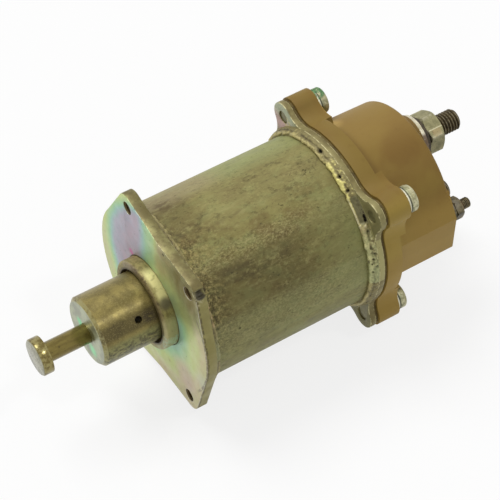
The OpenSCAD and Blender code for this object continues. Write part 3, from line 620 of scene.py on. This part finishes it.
def weld_finish():
    """Plated weld metal: brassy crests and olive flanks, painted lighter on crests and darker in furrows and pores
    from the bead's height, with a painted highlight along the upper crest and painted light on the lower side.
    """
    f = Finish("weld_metal")
    rough = f.cloud(1.3, 4, 0.7, seed=20)
    # Painted light and shade: the bead's stored height makes crests lighter and furrows darker.
    high = f.wear_and_shading + 0.9 * (rough - 0.5)
    rear = f.step(f.x, 40, 60)
    f.colour = f.mix(f.step(high, -0.50, -0.05), (92, 82, 48), (128, 118, 72))
    f.lay(f.step(high, 0.0, 0.40) * (0.55 + 0.45 * rear), (176, 164, 108))
    # Painted highlight along the upper crest, running on along the brim of the ground flat.
    bright = f.band(f.turn, 113, 12, 8) * rear
    f.lay(bright * f.step(high, -0.05, 0.25), (212, 202, 124))
    brim = f.band(f.turn, 131, 8, 3) * rear * f.step(f.wear_and_shading, 0.25, 0.5)
    f.lay(brim * 0.7, (214, 206, 168))
    pink = f.band(f.turn, 147, 4, 5) * f.step(rough, 0.4, 0.6) * f.step(high, -0.1, 0.3)
    f.lay(pink * 0.7, (206, 168, 130))
    ground = f.band(f.turn, 130, 8, 1.5) * rear * f.step(f.wear_and_shading, 0.2, 0.0) * f.step(f.wear_and_shading, -0.7, -0.5)
    f.lay(ground * 0.8, (104, 100, 66))
    # Painted light: the lower side of the rear bead lighter, with greenish patches, and both beads palest at the
    # bottom.
    low = f.step(f.turn, 136, 150) * rear
    f.lay(low * f.step(high, -0.3, 0.15) * 0.85, (200, 196, 138))
    tinted = low * f.step(f.cloud(2.6, 4, 0.65, seed=27), 0.46, 0.58)
    f.lay(tinted * 0.5, (132, 136, 88))
    f.lay(f.step(f.turn, 156, 172) * 0.4, (158, 168, 118))
    # Painted shade: the deepest pits and pores black.
    f.lay(f.step(f.wear_and_shading, -0.70, -1.05), (18, 14, 8))
    specks = f.step(f.cloud(0.9, 5, 0.75, seed=23), 0.60, 0.66)
    f.lay(specks * (0.75 - 0.25 * rear), (48, 40, 22))
    normal = f.bump(f.cloud(0.7, 4, 0.7, seed=24) - 0.5 * specks, 0.10)
    return f.close(0.42 + 0.2 * rough, 0.3, normal)


def collar_finish():
    """Yellow zinc on a turned collar: golden, with a painted highlight on its side, painted light underneath and
    painted shade inside its mouth, and grimy round its mouth.
    """
    f = Finish("collar_zinc")
    drawn = f.cloud(2.6, 5, 0.7, (0.8, 1.2, 1.2), 30)
    f.colour = f.mix(f.step(drawn, 0.34, 0.62), (118, 106, 60), (158, 146, 90))
    # Painted highlight on the side of the collar.
    side_highlight = f.band(f.turn, 110, 14, 16) * f.step(f.x, -5.2, -3.4)
    f.lay(side_highlight * f.step(f.cloud(3.4, 3, 0.6, seed=38), 0.2, 0.45) * 0.85, (232, 222, 158))
    stain = f.near((-2.2, -14.4, 15), 4.2, 0.7)
    f.lay(stain * 0.8, (82, 74, 60))
    # Painted light: the lower side lighter.
    low = f.step(f.turn, 146, 160) + f.step(f.turn, -100, -140)
    f.lay(f.clamp(low) * 0.7, (180, 172, 124))
    hidden = f.step(f.turn, -120, -170) * f.step(f.y, 0, -6)
    f.lay(hidden * f.step(drawn, 0.4, 0.55) * 0.6, (170, 196, 168))
    face = f.step(f.x, -5.0, -5.6)
    f.lay(face * f.band(f.turn, 108, 36, 14) * 0.6, (100, 82, 50))
    ridge = face * f.band(f.turn, 62, 14, 10)
    f.lay(ridge * f.step(drawn, 0.3, 0.55) * 0.7, (150, 136, 114))
    f.lay(face * f.step(f.radius, 18.5, 18.0) * 0.7, (104, 94, 54))
    groove = f.band(f.radius, 18.5, 0.15, 0.3) * f.step(f.turn, 128, 150) * f.step(f.x, -5.2, -5.6)
    f.lay(groove * 0.85, (40, 32, 18))
    grime = f.step(f.x, -4.2, -5.4) * f.band(f.turn, 110, 34, 10)
    f.lay(grime * f.step(f.cloud(1.5, 5, 0.75, seed=36), 0.50, 0.58) * 0.75, (66, 52, 30))
    f.lay(f.step(f.cloud(1.5, 5, 0.75, seed=31), 0.56, 0.70) * 0.5, (92, 80, 44))
    # Painted shade inside the mouth.
    mouth = f.step(f.radius, 18.0, 17.3)
    f.lay(mouth * 0.85, (66, 54, 30))
    rings = f.cloud(0.16, 1, 0.5, (1, 60, 60), 32)
    normal = f.bump(0.4 * rings + 0.8 * drawn + 0.5 * f.cloud(1.1, 4, 0.65, seed=33), 0.10)
    return f.close(0.42 + 0.2 * f.cloud(3, 3, seed=34), 0.35, normal)


def plunger_finish():
    """Brassy zinc on the turned plunger, pale and tinted on its front face, with painted shade in a band along its
    -Y flank, painted light underneath and a painted reflection on the face.
    """
    f = Finish("plunger_zinc")
    fine = f.cloud(0.5, 3, 0.65, (1.2, 1, 1), 49)
    f.colour = f.mix(f.step(f.cloud(6, 4, 0.6, seed=40), 0.36, 0.62), (106, 94, 48), (136, 122, 66))
    # Painted shade: a dark reflection in a band along the -Y flank.
    dark = f.band(f.turn, 142, 8, 9)
    f.lay(dark * 0.7, (66, 56, 28))
    # A darker patch on the side, broken up by noise.
    darkened_patch = f.near((-9.5, -12.4, 10), 4.5, 0.7) * f.step(f.cloud(1.8, 4, 0.7, seed=39), 0.38, 0.5)
    f.lay(darkened_patch * 0.7, (50, 40, 28))
    # Painted light: the lower side lighter and greener.
    low = f.clamp(f.step(f.turn, -120, -160) * f.step(f.y, 0, -6) + f.step(f.turn, 155, 168))
    f.lay(low * 0.7, (132, 134, 84))
    smear = f.clamp(f.step(f.z, 6, 1) * f.step(f.y, 2, -2))
    smear = smear * f.step(f.cloud(1.6, 5, 0.75, (1.8, 1, 1), 41), 0.46, 0.54)
    f.lay(smear * 0.8, (52, 48, 28))
    f.lay(f.step(fine, 0.5, 0.66) * 0.3, (172, 158, 98))
    front = f.step(f.x, PLUNGER_FRONT + 0.3, PLUNGER_FRONT + 0.05)
    tint = f.mix(f.step(f.cloud(8, 3, seed=42), 0.4, 0.6), (150, 154, 130), (178, 184, 152))
    tint = f.mix(f.near((PLUNGER_FRONT, 5.5, 1.3), 3.6, 0.8), tint, (128, 222, 156))
    tint = f.mix(f.near((PLUNGER_FRONT, -4.6, -6.8), 4.6, 0.8), tint, (146, 226, 164))
    # An olive patch painted as a reflection on the face.
    tint = f.mix(f.near((PLUNGER_FRONT, -4.4, 3.6), 4.2, 0.6) * 0.85, tint, (104, 100, 56))
    f.lay(front, tint)
    rim = f.step(f.x, PLUNGER_FRONT + 1.75, PLUNGER_FRONT + 1.45) * f.step(f.radius, 14, 14.4)
    f.lay(rim * f.step(f.cloud(2.4, 3, seed=50), 0.35, 0.55) * 0.5, (172, 166, 116))
    specks = f.step(f.cloud(1.1, 5, 0.75, seed=44), 0.62, 0.66)
    f.lay(specks * 0.7, (44, 36, 20))
    rings = f.cloud(0.2, 1, 0.5, (1, 60, 60), 46)
    normal = f.bump(0.5 * rings + 1.6 * f.cloud(1.3, 4, 0.65, seed=47) - 0.4 * specks, 0.02)
    return f.close(0.27 + 0.14 * f.cloud(2.4, 3, seed=48), 0.5, normal)


def rod_finish():
    """Golden-brown zinc on the pull rod, brassy at its head's rim and grey on the head's face, with painted shade
    on its underside.
    """
    f = Finish("rod_zinc")
    drawn = f.cloud(1.6, 4, 0.65, (5, 1, 1), 141)
    f.colour = f.mix(f.step(drawn, 0.30, 0.70), (106, 92, 44), (128, 114, 58))
    # Painted shade: the lower half darker.
    low = f.step(f.z, -1.5, -4)
    f.lay(low * 0.5, (80, 70, 36))
    f.lay(f.step(f.x, -42, -34) * 0.4, (140, 132, 74))
    head = f.step(f.x, ROD_HEAD_BACK + 0.8, ROD_HEAD_BACK)
    brassy = f.mix(f.step(f.cloud(2, 4, 0.65, seed=142), 0.4, 0.6), (112, 98, 52), (160, 150, 98))
    f.lay(head * 0.8, brassy)
    face = f.step(f.x, ROD_HEAD_FRONT + 0.3, ROD_HEAD_FRONT + 0.05)
    silver = f.mix(f.step(f.cloud(3, 4, 0.6, seed=43), 0.4, 0.6), (160, 158, 132), (124, 122, 94))
    f.lay(face, silver)
    specks = f.step(f.cloud(1.2, 5, 0.75, seed=143), 0.60, 0.65)
    f.lay(specks * 0.7, (48, 38, 20))
    f.lay(f.wear_and_shading * f.step(f.cloud(1.6, 3, seed=45), 0.42, 0.55) * 0.6, (196, 186, 128))
    normal = f.bump(0.6 * drawn + 0.6 * f.cloud(0.9, 4, 0.6, seed=144), 0.02)
    return f.close(0.16 + 0.1 * drawn, 0.65, normal)


def cap_finish():
    """Ochre-brown phenolic, matt and even, yellower at its rims by painted highlights, with painted light on its
    top, underside and -Y flank, and painted shade behind its ring.
    """
    f = Finish("cap_phenolic")
    f.colour = f.mix(f.step(f.cloud(26, 3, 0.5, seed=50), 0.38, 0.62), (120, 92, 40), (132, 108, 49))
    f.lay(f.step(f.x, 100, 98) * 0.5, (130, 108, 50))
    # Painted shade on the body just behind the ring.
    root = f.band(f.x, CAP_RING_REAR + 1, 1.0, 4.0) * f.step(f.radius, 40, 38)
    f.lay(root * 0.5, (90, 64, 28))
    # Painted light: the lower -Y side lighter, outside the middle.
    outside = f.step(f.radius, 22, 34)
    low = f.step(f.turn, 138, 160) * 0.9 + f.step(f.turn, -100, -140)
    f.lay(f.clamp(low) * outside * 0.75, (164, 136, 66))
    # Painted light on the -Y flank, from the front up to the bosses' rear faces.
    boss = f.step(f.x, CAP_BOSS_REAR + 1.2, CAP_BOSS_REAR - 0.8) * f.band(f.turn, 150, 14, 8)
    f.lay(boss * 0.8, (160, 136, 64))
    # Painted light: the top lighter behind the ring.
    top = f.band(f.turn, 62, 20, 30) * f.step(f.x, 100, 106)
    f.lay(top * outside * 0.5, (150, 122, 64))
    # Painted highlight on the rounded edges.
    f.lay(f.wear_and_shading * f.step(f.cloud(5, 3, seed=55), 0.2, 0.45) * 0.75, (182, 154, 88))
    # Painted light on the shaded rear face of a boss.
    facet = f.step(f.x, CAP_BOSS_REAR - 0.3, CAP_BOSS_REAR) * f.near((CAP_BOSS_REAR, 22, 36), 9, 0.5)
    f.lay(facet * 0.7, (190, 160, 90))
    f.lay(f.step(f.cloud(5, 4, 0.6, seed=51), 0.56, 0.78) * 0.18, (100, 72, 32))
    specks = f.step(f.cloud(1.2, 5, 0.75, seed=52), 0.66, 0.7)
    f.lay(specks * 0.3, (78, 56, 26))
    nick = f.near((97.2, -43.8, 4.6), 1.0, 0.4)
    f.lay(nick * 0.85, (46, 34, 18))
    grime = sum(f.step(f.off_line(0, z), 12.8, 10.6) for z in (MAIN_SPOT, -MAIN_SPOT))
    f.lay(f.clamp(grime) * f.step(f.x, CAP_REAR - 1, CAP_REAR) * 0.5, (60, 44, 24))
    normal = f.bump(f.cloud(0.9, 4, 0.6, seed=53), 0.02)
    return f.close(0.5 + 0.1 * f.cloud(6, 3, seed=54), 0.0, normal, **{"Specular IOR Level": 0.22})


def screw_finish():
    """Bright zinc on screws and washers, with painted shade where heads meet washers and in a band on the heads,
    and green paint on one head.
    """
    f = Finish("screw_zinc")
    f.colour = f.mix(f.step(f.cloud(2.6, 4, 0.65, seed=60), 0.38, 0.62), (196, 192, 156), (146, 142, 106))
    specks = f.step(f.cloud(0.8, 5, 0.75, seed=61), 0.6, 0.65)
    f.lay(specks * 0.7, (62, 56, 40))
    # Painted shade where the head meets the washer.
    root = f.band(f.x, SCREW_HEAD_FRONT + 0.1, 0.25, 0.3)
    f.lay(root * 0.85, (50, 50, 38))
    shaded = f.band(f.x, SCREW_HEAD_FRONT + 0.8, 0.4, 0.5) * f.step(f.cloud(3, 3, seed=67), 0.38, 0.6)
    f.lay(shaded * 0.45, (92, 104, 74))
    washer = f.band(f.x, SCREW_HEAD_FRONT - 0.8, 0.5, 0.2)
    f.lay(washer * 0.6, (226, 224, 204))
    end = f.step(f.x, 88.4, 87.6)
    f.lay(end * 0.8, (112, 108, 72))
    painted = f.near((103.2, 36.2, 40.2), 7.0, 0.2) * f.step(f.cloud(1.6, 4, 0.65, (1, 2.5, 1), 63), 0.40, 0.50)
    f.lay(painted, f.mix(f.step(f.cloud(1.0, 3, seed=66), 0.35, 0.65), (46, 92, 46), (112, 150, 96)))
    rough = 0.34 + 0.2 * f.cloud(1.5, 3, seed=62) + 0.2 * painted
    metal = 0.6 * (1 - specks) * (1 - painted)
    return f.close(rough, metal, f.bump(f.cloud(0.4, 3, 0.6, seed=64), 0.015))


def stud_finish():
    """Dark steel of the main studs under a film of oil, bright on the crests."""
    f = Finish("stud_steel")
    out = f.sum("MINIMUM", f.off_line(0, MAIN_SPOT), f.off_line(0, -MAIN_SPOT))
    f.colour = f.mix(f.step(f.cloud(2.4, 4, 0.6, seed=70), 0.35, 0.65), (66, 56, 38), (98, 86, 60))
    crests = f.step(out, 4.7, 5.0) * f.step(f.cloud(1.1, 3, seed=71), 0.35, 0.6)
    f.lay(crests * 0.6, (150, 142, 116))
    roots = f.step(out, 4.6, 4.3) * f.step(f.x, MAIN_STUD_END - 0.1, MAIN_STUD_END - 0.4)
    f.lay(roots * 0.5, (38, 32, 22))
    normal = f.bump(f.cloud(0.5, 3, seed=72), 0.02)
    return f.close(0.36 + 0.2 * f.cloud(1.4, 3, seed=73), 0.7, normal)


def nut_finish():
    """Olive zinc on the main nuts, with light edges, one scratched flat and painted shade at the front of the upper
    nut.
    """
    f = Finish("nut_zinc")
    f.colour = f.mix(f.step(f.cloud(4, 5, 0.7, seed=76), 0.35, 0.65), (116, 112, 76), (150, 144, 104))
    across = 10.89 - f.y * 0.886 - f.z * 0.463  # along the near flat of the upper nut
    tan = f.band(across, 3.1, 1.5, 0.3) * f.band(f.x, 140.5, 1.8, 0.6) * f.step(f.z, 26, 27)
    f.lay(tan * 0.4, (172, 144, 100))
    scratch = f.band(across, 1.28, 0.14, 0.2) * f.step(f.z, 26, 27)
    f.lay(scratch * 0.7, (214, 208, 172))
    chips = f.wear_and_shading * f.step(f.cloud(1.4, 3, seed=77), 0.35, 0.5)
    f.lay(chips * 0.6, (196, 190, 160))
    # Painted shade at the front of the upper nut, next to the split washer.
    gap_shade = f.step(f.x, MAIN_NUT_FRONT + 1.3, MAIN_NUT_FRONT + 0.3) * f.band(f.turn_about(MAIN_SPOT), 142, 16, 6)
    f.lay(gap_shade * 0.85, (30, 22, 14))
    specks = f.clamp(f.dots(1.1, 0.2, 0.24, seed=78) + f.step(f.cloud(1.0, 4, 0.7, seed=81), 0.60, 0.68))
    f.lay(specks * 0.6, (66, 58, 36))
    normal = f.bump(f.cloud(0.9, 4, 0.65, seed=79), 0.05)
    return f.close(0.44 + 0.2 * f.cloud(2, 3, seed=80), 0.4, normal)


def washer_finish():
    """Cream-white zinc on the plain washers, with painted shade on the lower side of the upper one."""
    f = Finish("washer_zinc")
    f.colour = f.mix(f.step(f.cloud(4, 4, 0.6, seed=82), 0.35, 0.65), (214, 208, 186), (176, 168, 138))
    f.lay(f.step(f.cloud(1.6, 5, 0.7, seed=83), 0.55, 0.7) * 0.6, (104, 94, 66))
    # Painted shade on the lower side of the upper washer.
    darkened_patch = f.band(f.turn_about(MAIN_SPOT), 152, 20, 9) * f.step(f.cloud(2.4, 4, 0.65, seed=86), 0.30, 0.45)
    f.lay(darkened_patch * 0.85, (84, 58, 38))
    normal = f.bump(f.cloud(0.7, 4, seed=84), 0.02)
    return f.close(0.4 + 0.16 * f.cloud(2, 3, seed=85), 0.5, normal)


def control_finish():
    """Grey-brown zinc of the small terminals."""
    f = Finish("control_zinc")
    f.colour = f.mix(f.step(f.cloud(2.2, 4, 0.6, seed=87), 0.35, 0.65), (84, 76, 56), (122, 112, 84))
    f.lay(f.step(f.cloud(1.1, 4, 0.7, seed=88), 0.55, 0.66) * 0.7, (46, 40, 30))
    glint = f.near((137, -28, 4), 3)
    f.lay(glint * 0.4, (138, 132, 118))
    low = f.step(f.turn, 174, 179) * f.step(f.x, 141, 140)
    f.lay(low * 0.6, (44, 46, 34))
    rust = f.band(f.x, 141, 0.4, 0.7) * f.step(f.cloud(1.2, 3, seed=91), 0.40, 0.55)
    f.lay(rust * 0.6, (122, 74, 48))
    normal = f.bump(f.cloud(0.5, 3, seed=89), 0.02)
    return f.close(0.38 + 0.2 * f.cloud(1.4, 3, seed=90), 0.6, normal)


def plain_finish(name, light, dark, size, rough, metal, depth, seed, stretch=(1, 1, 1), speck=None):
    """Any of the inner materials: two tones in patches, grain, and specks of dirt."""
    f = Finish(name)
    grain = f.cloud(size, 4, 0.6, stretch, seed)
    f.colour = f.mix(f.step(grain, 0.35, 0.65), dark, light)
    fine = f.cloud(size * 0.22, 3, 0.6, stretch, seed + 1)
    f.lay(f.step(fine, 0.55, 0.75) * 0.3, [0.7 * c for c in dark])
    if speck:
        f.lay(f.dots(size * 0.5, 0.2, 0.25, seed=seed + 2) * 0.6, speck)
    return f.close(rough + 0.14 * (fine - 0.5), metal, f.bump(grain + 0.5 * fine, depth))


def copper_finish():
    """Enamelled copper wire, laid side by side."""
    f = Finish("winding_copper")
    wire = 0.9
    wires = f.sum("ABSOLUTE", f.sum("SINE", f.x * (math.pi / wire)))
    f.colour = f.mix(f.step(f.cloud(6, 3, seed=100), 0.35, 0.65), (134, 66, 30), (176, 96, 48))
    f.lay(f.step(wires, 0.35, 0.0) * 0.8, (48, 22, 12))
    normal = f.bump(wires, 0.2)
    return f.close(0.28 + 0.1 * f.cloud(2, 2, seed=101), 0.6, normal, **{"Coat Weight": 0.5})


def tape_finish():
    """Woven cotton tape, in the threads of its weave."""
    f = Finish("winding_tape")
    thread, tape_r = 0.7, 34
    round_tape = f.turn * (math.pi / 180 * tape_r)
    weave = f.sum("SINE", f.x * (math.tau / thread)) * f.sum("SINE", round_tape * (math.tau / thread))
    f.colour = f.mix(f.step(f.cloud(7, 4, 0.6, seed=104), 0.35, 0.65), (196, 182, 144), (216, 206, 172))
    f.lay(f.step(weave, 0.2, -0.6) * 0.4, (150, 134, 98))
    return f.close(0.85 - 0.1 * f.cloud(3, 2, seed=105), 0.0, f.bump(weave, 0.08))


# Assembly

yoke_zinc = yoke_finish()
plate_zinc = plate_finish()
flange_zinc = flange_finish()
weld_metal = weld_finish()
collar_zinc = collar_finish()
plunger_zinc = plunger_finish()
rod_zinc = rod_finish()
cap_phenolic = cap_finish()
screw_zinc = screw_finish()
stud_steel = stud_finish()
nut_zinc = nut_finish()
washer_zinc = washer_finish()
control_zinc = control_finish()
copper = copper_finish()
tape = tape_finish()

# Each: light and dark tone, size of the grain, roughness, metal, depth of the relief, seed.
brass = plain_finish("sleeve_brass", (190, 158, 88), (158, 126, 62), 5, 0.3, 0.85, 0.02, 110, (4, 1, 1))
fibre = plain_finish("fibre", (132, 84, 50), (104, 62, 36), 2, 0.75, 0, 0.05, 113)
bobbin_plastic = plain_finish("bobbin_plastic", (48, 46, 44), (30, 29, 28), 6, 0.55, 0, 0.03, 116)
core_steel = plain_finish(
    "core_steel", (150, 150, 146), (116, 116, 112), 4, 0.34, 0.85, 0.02, 119, (1, 3, 3), speck=(70, 60, 50))
gasket = plain_finish("gasket_rubber", (112, 96, 48), (84, 70, 34), 3, 0.8, 0, 0.06, 122, speck=(60, 48, 24))
grimy_zinc = plain_finish("grimy_zinc", (78, 66, 44), (34, 26, 16), 2.2, 0.55, 0.3, 0.04, 137, speck=(20, 16, 12))
spring_steel = plain_finish(
    "spring_steel", (120, 118, 112), (78, 76, 72), 2, 0.32, 0.8, 0.01, 125, speck=(60, 44, 30))
contact_copper = plain_finish(
    "contact_copper", (196, 116, 70), (158, 82, 46), 5, 0.3, 0.9, 0.02, 128, speck=(64, 40, 28))
insulator = plain_finish("insulator", (214, 204, 176), (190, 178, 146), 4, 0.6, 0, 0.03, 131)
clip_steel = plain_finish("clip_steel", (96, 94, 92), (60, 58, 56), 2, 0.35, 0.8, 0.01, 134)

# The solids that stay as they are and only get their finish.
PLAIN_SOLIDS = {
    "yoke_tube": yoke_zinc, "guide_sleeve": brass, "front_fibre_washer": fibre, "rear_fibre_washer": fibre,
    "bobbin": bobbin_plastic, "pull_in_winding": copper, "hold_in_winding": copper, "winding_tape": tape,
    "fixed_core": core_steel, "start_lead": copper, "earth_lead": copper, "motor_lead": copper,
    "cap_gasket": gasket, "cap_split_washers": screw_zinc, "main_washers": washer_zinc,
    "main_split_washers": grimy_zinc, "control_washers": control_zinc,
    "plunger": plunger_zinc, "rod_lock_pin": core_steel,
    "contact_rod": core_steel, "contact_disc": contact_copper, "contact_bush": insulator,
    "contact_washer": insulator, "pressure_spring": spring_steel, "rod_clip": clip_steel,
}
for node, finish in PLAIN_SOLIDS.items():
    NODES[node].data.materials.clear()
    NODES[node].data.materials.append(finish)

front_plate(plate_zinc)
softened("flange", "rear_flange", 0.35, "housing", flange_zinc)
softened("cap", "terminal_cap", 0.7, "housing", cap_phenolic, segments=3)
cap_screws(screw_zinc)

# Places of the nuts: y, z, and the turn at which each was left.
MAIN_NUTS = [(0, MAIN_SPOT, 27.6), (0, -MAIN_SPOT, 8)]
LOCK_NUTS = [(-CONTROL_SPOT, 0, 12), (CONTROL_SPOT, 0, 35)]
CONTROL_NUTS = [(-CONTROL_SPOT, 0, 42), (CONTROL_SPOT, 0, 12)]
MAIN_WIDTH, MAIN_BORE = 17.0, 4.3
CONTROL_WIDTH, CONTROL_BORE = 9.2, 2.2
hexagon_nuts("main_hexagons", "main_nuts", MAIN_NUT_FRONT, MAIN_NUT_REAR, MAIN_WIDTH, MAIN_BORE, MAIN_NUTS,
             nut_zinc)
hexagon_nuts("lock_hexagons", "control_lock_nuts", LOCK_NUT_FRONT, LOCK_NUT_REAR, CONTROL_WIDTH, CONTROL_BORE,
             LOCK_NUTS, control_zinc)
hexagon_nuts("control_hexagons", "control_nuts", LOCK_NUT_REAR, CONTROL_NUT_REAR, CONTROL_WIDTH, CONTROL_BORE,
             CONTROL_NUTS, control_zinc)

sprung("return_spring", "plunger_spring", "plunger", spring_steel)
sprung("contact_spring", "bridge_spring", "contact_bridge", spring_steel)
softened("rod", "pull_rod", 0.3, "plunger", rod_zinc)
softened("collar", "guide_collar", 0.9, "housing", collar_zinc, 60, 3)

REAR_MARKS = [
    (86.9, 0.55, 1.15, -2.1), (96.4, 0.16, 0.5, -1.1), (102.8, 0.12, 0.55, -1.4), (107.6, 0.53, 0.8, -1.9),
    (117, 0.51, 0.75, -1.9), (119.8, 0.12, 0.65, -1.5), (112, 0.3, 4.0, 0.30), (98, 0.62, 3.0, 0.25),
    (131.8, 0.94, 0.45, -1.1), (133.6, 0.90, 0.55, -1.7), (135.0, 0.87, 0.7, -2.0), (136.6, 0.84, 0.8, -2.1),
    (130.4, 0.78, 0.4, 0.7), (138.6, 0.74, 0.6, 0.6),
    (139.6, 0.7, 1.0, 0.9), (139.2, 0.2, 1.2, 0.5), (147.5, 0.3, 2.6, 0.35), (143, 0.75, 0.8, -0.9),
    (163.4, 0.15, 0.8, -1.7), (164.7, 0.43, 0.55, -1.6), (170.8, 0.46, 0.6, -1.8), (158, 0.8, 0.7, -1.2),
    (152, 0.2, 2.2, 0.5), (159.5, 0.35, 1.4, 0.5), (167.5, 0.3, 1.2, 0.4), (161.5, 0.62, 0.5, -1.4),
    (167, 0.85, 0.8, -1.1), (154, 0.55, 0.4, -1.0), (20, 0.5, 0.8, -1.3), (-132, 0.4, 0.9, -1.4),
    (-70, 0.6, 0.7, -1.2), (-25, 0.35, 0.9, -1.3), (60, 0.3, 3.0, 0.4), (-100, 0.35, 4.0, 0.4)]
FRONT_MARKS = [
    (98, 0.5, 0.8, -1.0), (104, 0.3, 0.6, 0.7), (112, 0.4, 0.7, -0.9), (118, 0.4, 1.2, 0.6),
    (123, 0.3, 0.5, -1.0), (131, 0.5, 0.5, -1.0), (150, 0.4, 0.9, -0.9), (-60, 0.5, 0.8, -1.0)]
REAR_FLATS = [(121.5, 138.4)]
bead("rear_bead", "rear_weld", FLANGE_FRONT, -1, (3.7, 2.95), weld_metal, REAR_MARKS, REAR_FLATS, 0.8, seed=2)
bead("front_bead", "front_weld", PLATE_REAR, 1, (2.4, 2.2), weld_metal, FRONT_MARKS, [], 0.9, seed=5)

for name, node, z in (
        ("battery_stud", "battery_terminal", MAIN_SPOT), ("motor_stud", "motor_terminal", -MAIN_SPOT)):
    threaded_stud(name, node, MAIN_NUT_REAR, MAIN_STUD_END, MAIN_THREAD, (0, z), stud_steel)
for name, node, y in (
        ("start_stud", "start_terminal", -CONTROL_SPOT), ("earth_stud", "earth_terminal", CONTROL_SPOT)):
    threaded_stud(name, node, CONTROL_NUT_REAR, CONTROL_STUD_END, CONTROL_THREAD, (y, 0),
                  control_zinc)


# Stage

def floor_finish():
    """Pale paper: white to the eye, with the part's soft shadow kept, and plain to the light it gives back."""
    f = Finish("floor_paper")
    paper = f.add("BsdfDiffuse", sockets={"Color": (0.9, 0.9, 0.9, 1)})
    glow = f.add("Emission", sockets={"Color": (1, 1, 1, 1), "Strength": 1.0})
    mixed = f.add("MixShader", sockets={0: f.looked_at() * 0.8, 1: paper, 2: glow})
    f.add("OutputMaterial", sockets={"Surface": mixed})
    return f.material


def lamp(name, toward, energy, spread):
    """A broad, even light from the given direction; spread is its width in the sky, in degrees."""
    light = bpy.data.lights.new(name, "SUN")
    light.energy, light.angle = energy, math.radians(spread)
    made = bpy.data.objects.new(name, light)
    made.rotation_mode = "QUATERNION"
    made.rotation_quaternion = Vector(toward).to_track_quat("Z", "Y")
    bpy.context.scene.collection.objects.link(made)


floor_bm = bmesh.new()
bmesh.ops.create_grid(floor_bm, x_segments=1, y_segments=1, size=12,
                      matrix=Matrix.Translation((0.04, 0, FLOOR * MM)))
floor_mesh = bpy.data.meshes.new("floor")
floor_bm.to_mesh(floor_mesh)
floor_bm.free()
floor_mesh.materials.append(floor_finish())
floor = bpy.data.objects.new("floor", floor_mesh)
bpy.context.scene.collection.objects.link(floor)

world = bpy.data.worlds.new("studio")
bpy.context.scene.world = world
world.use_nodes = True
sky = Nodes(world.node_tree)
even = sky.add("Background", sockets={"Color": (1, 1, 1, 1), "Strength": 0.4 + 0.6 * sky.looked_at()})
sky.add("OutputWorld", sockets={"Surface": even})

lamp("overhead", (-0.15, 0.45, 0.88), 1.9, 30)
lamp("window", (0.3, -0.4, 0.87), 0.34, 6)

# The camera, placed by the plate's, tube's, flange's and plunger's ellipses in the picture.
camera_data = bpy.data.cameras.new("camera")
camera_data.lens, camera_data.sensor_width = 139.536, 36
camera_data.shift_x, camera_data.shift_y = 0.013, -0.0434
camera_data.clip_start, camera_data.clip_end = 0.01, 50
right = Vector((0.8416, -0.5400, 0.0110))
down = Vector((-0.4104, -0.6526, -0.6369))
ahead = Vector((0.3511, 0.5315, -0.7709))
camera = bpy.data.objects.new("camera", camera_data)
camera.rotation_mode = "QUATERNION"
camera.location = (-0.242878, -0.435876, 0.650723)
camera.rotation_quaternion = Matrix((right, -down, -ahead)).transposed().to_quaternion()
bpy.context.scene.collection.objects.link(camera)
bpy.context.scene.camera = camera

bpy.context.scene.view_settings.view_transform = "Standard"
